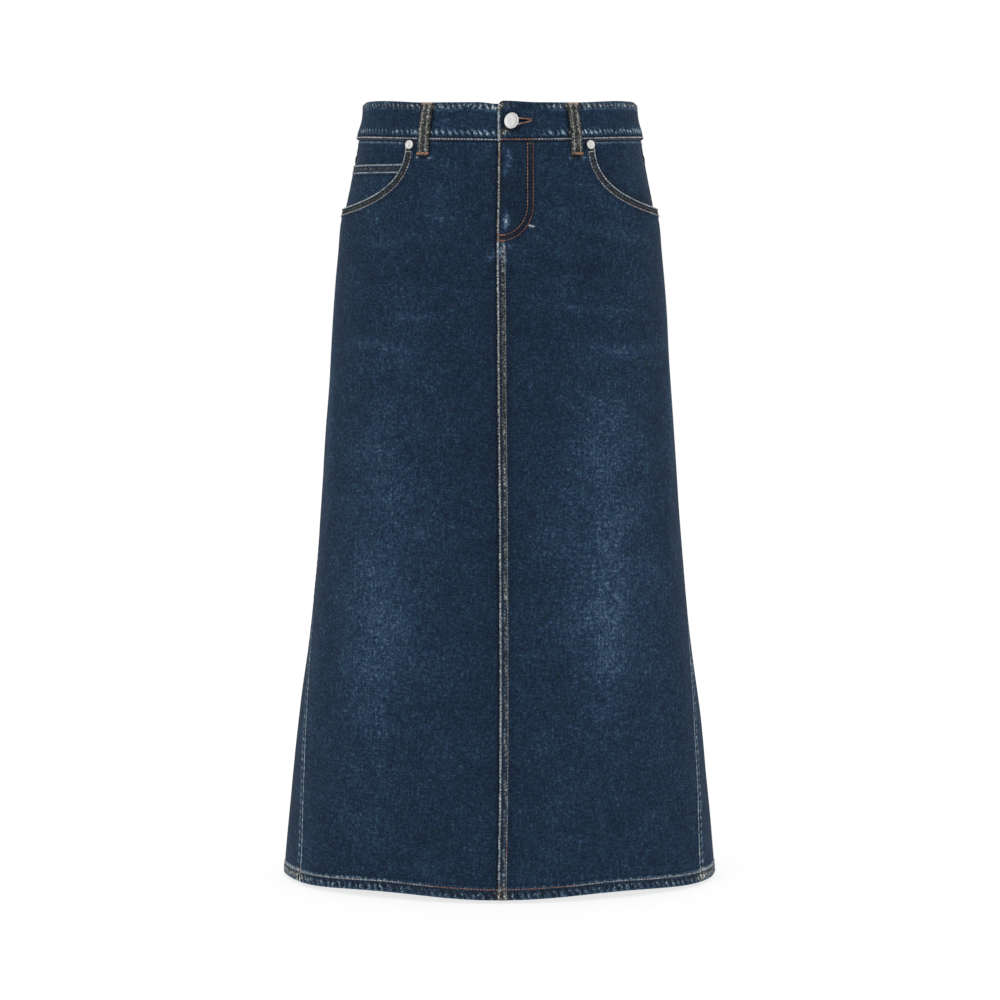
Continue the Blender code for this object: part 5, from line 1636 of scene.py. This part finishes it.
class SKIRT_OT_stitching(bpy.types.Operator):
    """Sews the front, back and waistband: every topstitched line and bar tack"""

    bl_idname = "skirt.stitching"
    bl_label = "Topstitching"

    def execute(self, context):
        thread_piece("front_stitching", self.front_rows())
        thread_piece("back_stitching", self.back_rows())
        thread_piece("waistband_stitching", self.band_rows())
        return {"FINISHED"}

    def hem_row(self, surface, reach, back):
        """The hem's line on one panel, a wandering 11 mm above its edge, whose rust is left in the middle."""
        across = np.linspace(1 * MM, reach - 1 * MM, 90)
        level = np.full(90, LENGTH - HEM_HEIGHT)
        position = half_round(level) - across if back else across
        angle = angle_at(position, level)
        down = hem_line(angle) - HEM_HEIGHT + 0.35 * MM * uneven(across / (30 * MM), 0 * across, 18.0)
        dye = 0.84 - 0.56 * smooth(across, 55 * MM, 110 * MM)
        return stitches(surface, (across, down), dye, thread=1.2 * MM)

    def front_rows(self):
        """The front's rows: pocket mouths, hem, centre front, fly and coin pocket, and their tacks."""
        rows = []
        hem_reach = float(side_distance(LENGTH - HEM_HEIGHT))
        for side, _ in SIDES:
            surface = on(front_face, side)
            for into, start, dye, thread in ((1.3 * MM, 8, 0.34, 1.25 * MM), (8.2 * MM, 22, 0.50, 0.95 * MM)):
                across, down, _ = mouth_line(into)
                rows.append(stitches(surface, (across[start:-4], down[start:-4]), dye, thread=thread))
            rows.append(self.hem_row(surface, hem_reach, False))
            rows += tack(surface, (100.5 * MM, 55.5 * MM), (108.0 * MM, 54.5 * MM), 1.6 * MM, 0.4)
        surface = on(front_face, 1)
        top = float(waist_seam(0.0)) + 1.2 * MM
        down = np.linspace(top, LENGTH - 3 * MM, 400)
        dye = 0.38 + 0.34 * spot(down - 64 * MM, 14 * MM) + 0.30 * smooth(down, 835 * MM, 860 * MM)
        rows.append(stitches(surface, (drift(down) + EDGE_LINE, down), dye))
        down = np.linspace(158 * MM, LENGTH - 3 * MM, 400)
        dye = 0.14 + 0.55 * spot(down - 816 * MM, 18 * MM)
        rows.append(stitches(surface, (drift(down) + FELL_LINE, down), dye, thread=0.85 * MM))
        for apart, dye in ((0.0, 0.76), (FLY_LINES_APART, 0.94)):
            turn = np.linspace(0, math.pi / 2, 60)
            line = FLY_LINE + apart
            bend_down = FLY_TURNS_IN + (FLY_LINE_END - FLY_TURNS_IN + apart) * np.sin(turn)
            across = np.concatenate([np.full(40, line), line * np.cos(turn)])
            down = np.concatenate([np.linspace(top, FLY_TURNS_IN, 41)[:-1], bend_down])
            fading = dye + 0.12 * uneven(np.linspace(0, 9, 60), 0.0, 23.0)
            rows.append(stitches(surface, (across, down), fading, thread=0.78 * MM))
            level = bend_down[-1] + 0.2 * MM
            rows += tack(surface, (-2.6 * MM, level), (5.0 * MM, level - 0.4 * MM), 2.0 * MM, 0.86)
        rows += tack(surface, (-2.2 * MM, 148 * MM), (-2.2 * MM, 153 * MM), 1.8 * MM, 0.80)
        rows += tack(surface, (31.6 * MM, 136.2 * MM), (37.2 * MM, 137.6 * MM), 2.6 * MM, 0.40)
        for level in (COIN_TOP + 1.3 * MM, COIN_TOP + 9.3 * MM):
            across = np.linspace(111 * MM, float(side_distance(level)) - 2 * MM, 60)
            down = level + coin_dip(across, level)
            rows.append(stitches(on(coin_face), (across, down), 0.34, thread=1.25 * MM))
        return rows

    def back_rows(self):
        """The back's rows: hem, yoke and centre back."""
        rows = []
        level = LENGTH - HEM_HEIGHT
        hem_reach = float(half_round(level) - side_distance(level))
        for side, _ in SIDES:
            rows.append(self.hem_row(on(back_face, side, False), hem_reach, True))
            upper = on(back_face, side, True)
            reach = float(half_round(60 * MM) - side_distance(60 * MM)) - 2 * MM
            from_centre = np.linspace(1.5 * MM, reach, 120)
            angle = angle_at(half_round(np.full(120, 80 * MM)) - from_centre, np.full(120, 80 * MM))
            for above, dye in ((1.4 * MM, 0.36), (7.0 * MM, 0.50)):
                rows.append(stitches(upper, (from_centre, yoke_seam(angle) - above), dye))
        head, seam = float(waist_seam(math.pi)) + 1.5 * MM, float(yoke_seam(math.pi))
        for x, dye in ((0.9 * MM, 0.38), (7.0 * MM, 0.2)):
            on_yoke, on_panel = on(back_face, 1, True), on(back_face, 1, False)
            rows.append(stitches(on_yoke, straight((x, head), (x, seam - 1 * MM)), dye))
            rows.append(stitches(on_panel, straight((x, seam + 1 * MM), (x, LENGTH - 3 * MM), 300), dye))
        return rows

    def band_rows(self):
        """The waistband's rows: lower edge, lapping end and the keyhole's overcast rim with its tack."""
        along = np.linspace(0.4 * MM, 2 * math.pi * BAND_RADIUS - 3 * MM, 900)
        dye = 0.38 + 0.50 * (1 - smooth(along, 28 * MM, 44 * MM))
        rows = [stitches(on_band, (along, np.full(900, 1.7 * MM)), dye, thread=1.35 * MM)]
        bend = np.linspace(0, math.pi / 2, 24)
        line = 0.9 * MM - FLAP_PAST_CENTRE
        across = np.concatenate([np.full(60, line), line + 5.6 * MM * (1 - np.cos(bend))])
        height = np.concatenate([np.linspace(1.7 * MM, 33 * MM, 60), 33 * MM + 5.4 * MM * np.sin(bend)])
        rows.append(stitches(on_band, (across, height), 0.4))
        seam = float(waist_seam(0.1))
        across, middle, half_height = keyhole_outline()
        at = np.linspace(BUTTON_FROM_CENTRE + 2 * MM, SLIT_END, 30)
        middle, half_height = np.interp(at, across, middle), np.interp(at, across, half_height)
        for sign, dyes in ((-1, (0.62, 0.80)), (1, (0.44, 0.72))):
            centre = seam - middle - sign * (half_height + 0.7 * MM)
            for x, y, dye in zip(at, centre, np.linspace(*dyes, 30)):
                path = straight((x, y - 0.9 * MM), (x + 0.25 * MM, y + 0.9 * MM), 6)
                rows.append(stitches(on_band, path, dye, pitch=1.9 * MM, thread=0.9 * MM, raised=0.8))
        tip = seam - SLIT_AT_END
        rows += tack(on_band, (SLIT_END + 0.2 * MM, tip - 1.2 * MM), (SLIT_END + 0.2 * MM, tip + 1.2 * MM),
                     2.6 * MM, 0.9)
        return rows


class SKIRT_OT_stage(bpy.types.Operator):
    """Sets the camera, the soft studio light and the plain pale floor"""

    bl_idname = "skirt.stage"
    bl_label = "Studio"

    def execute(self, context):
        scene = context.scene
        lens = bpy.data.cameras.new("camera")
        lens.lens = LENS
        lens.sensor_width = 36.0
        scene.camera = self.aimed("camera", lens, CAMERA_AT, CAMERA_HEADING)

        world = bpy.data.worlds.new("studio")
        world.use_nodes = True
        world.node_tree.nodes["Background"].inputs["Color"].default_value = (1, 1, 1, 1)
        world.node_tree.nodes["Background"].inputs["Strength"].default_value = 1.0
        scene.world = world
        for name, at, width, power in LAMPS:
            lamp = bpy.data.lights.new(name, "AREA")
            lamp.size = width
            lamp.energy = power
            self.aimed(name, lamp, at, Vector(LAMPS_AIM_AT) - Vector(at))

        level = -LENGTH - scene.skirt_sizes.floor_below_hem
        corners = ((-1, -1), (1, -1), (1, 1), (-1, 1))
        corners = [(x * FLOOR_REACH, y * FLOOR_REACH, level) for x, y in corners]
        # Frosted acrylic lit from below: it shows as white, and takes only a faint shadow.
        material, tree = blank("frosted_acrylic_light_table")
        place_in = add(tree, "ShaderNodeTexCoord")["Object"]
        grain = add(tree, "ShaderNodeTexNoise", {"Vector": place_in, "Scale": 40, "Detail": 2})["Fac"]
        rough = add(tree, "ShaderNodeMapRange", {"Value": grain, "To Min": 0.85, "To Max": 0.95})[0]
        surface = add(tree, "ShaderNodeBsdfPrincipled", {
            "Base Color": scene.skirt_colours.floor, "Roughness": rough, "Specular IOR Level": 0.0,
            "Emission Color": (1, 1, 1, 1), "Emission Strength": 0.74})[0]
        add(tree, "ShaderNodeOutputMaterial", {"Surface": surface})
        new_object("floor", corners, [(0, 1, 2, 3)], material)
        scene.view_settings.view_transform = "Standard"
        return {"FINISHED"}

    def aimed(self, name, data, at, heading):
        """A camera or lamp at a place, its -Z axis along the heading and its Y axis upward."""
        obj = bpy.data.objects.new(name, data)
        obj.location = at
        obj.rotation_mode = "QUATERNION"
        obj.rotation_quaternion = Vector(heading).to_track_quat("-Z", "Y")
        bpy.context.scene.collection.objects.link(obj)
        return obj


PIECES = (
    SKIRT_OT_fronts,
    SKIRT_OT_backs,
    SKIRT_OT_yokes,
    SKIRT_OT_pockets,
    SKIRT_OT_waistband,
    SKIRT_OT_belt_loops,
    SKIRT_OT_metal,
    SKIRT_OT_stitching,
    SKIRT_OT_stage,
)


class SKIRT_PT_sidebar(bpy.types.Panel):
    """Lists the sizes, the colours and the steps that build the skirt"""

    bl_idname = "SKIRT_PT_sidebar"
    bl_label = "Denim skirt"
    bl_space_type = "VIEW_3D"
    bl_region_type = "UI"
    bl_category = "Skirt"

    def draw(self, context):
        for group in (context.scene.skirt_sizes, context.scene.skirt_colours):
            for name in group.__annotations__:
                self.layout.prop(group, name)
        for piece in PIECES:
            self.layout.operator(piece.bl_idname)


CLASSES = (SkirtSizes, SkirtColours, *PIECES, SKIRT_PT_sidebar)


def register():
    for cls in CLASSES:
        bpy.utils.register_class(cls)
    bpy.types.Scene.skirt_sizes = bpy.props.PointerProperty(type=SkirtSizes)
    bpy.types.Scene.skirt_colours = bpy.props.PointerProperty(type=SkirtColours)


def unregister():
    del bpy.types.Scene.skirt_colours
    del bpy.types.Scene.skirt_sizes
    for cls in reversed(CLASSES):
        bpy.utils.unregister_class(cls)


def main():
    """Registers the classes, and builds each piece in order."""
    register()
    bpy.ops.skirt.fronts()
    bpy.ops.skirt.backs()
    bpy.ops.skirt.yokes()
    bpy.ops.skirt.pockets()
    bpy.ops.skirt.waistband()
    bpy.ops.skirt.belt_loops()
    bpy.ops.skirt.metal()
    bpy.ops.skirt.stitching()
    bpy.ops.skirt.stage()


if __name__ == "__main__":
    main()
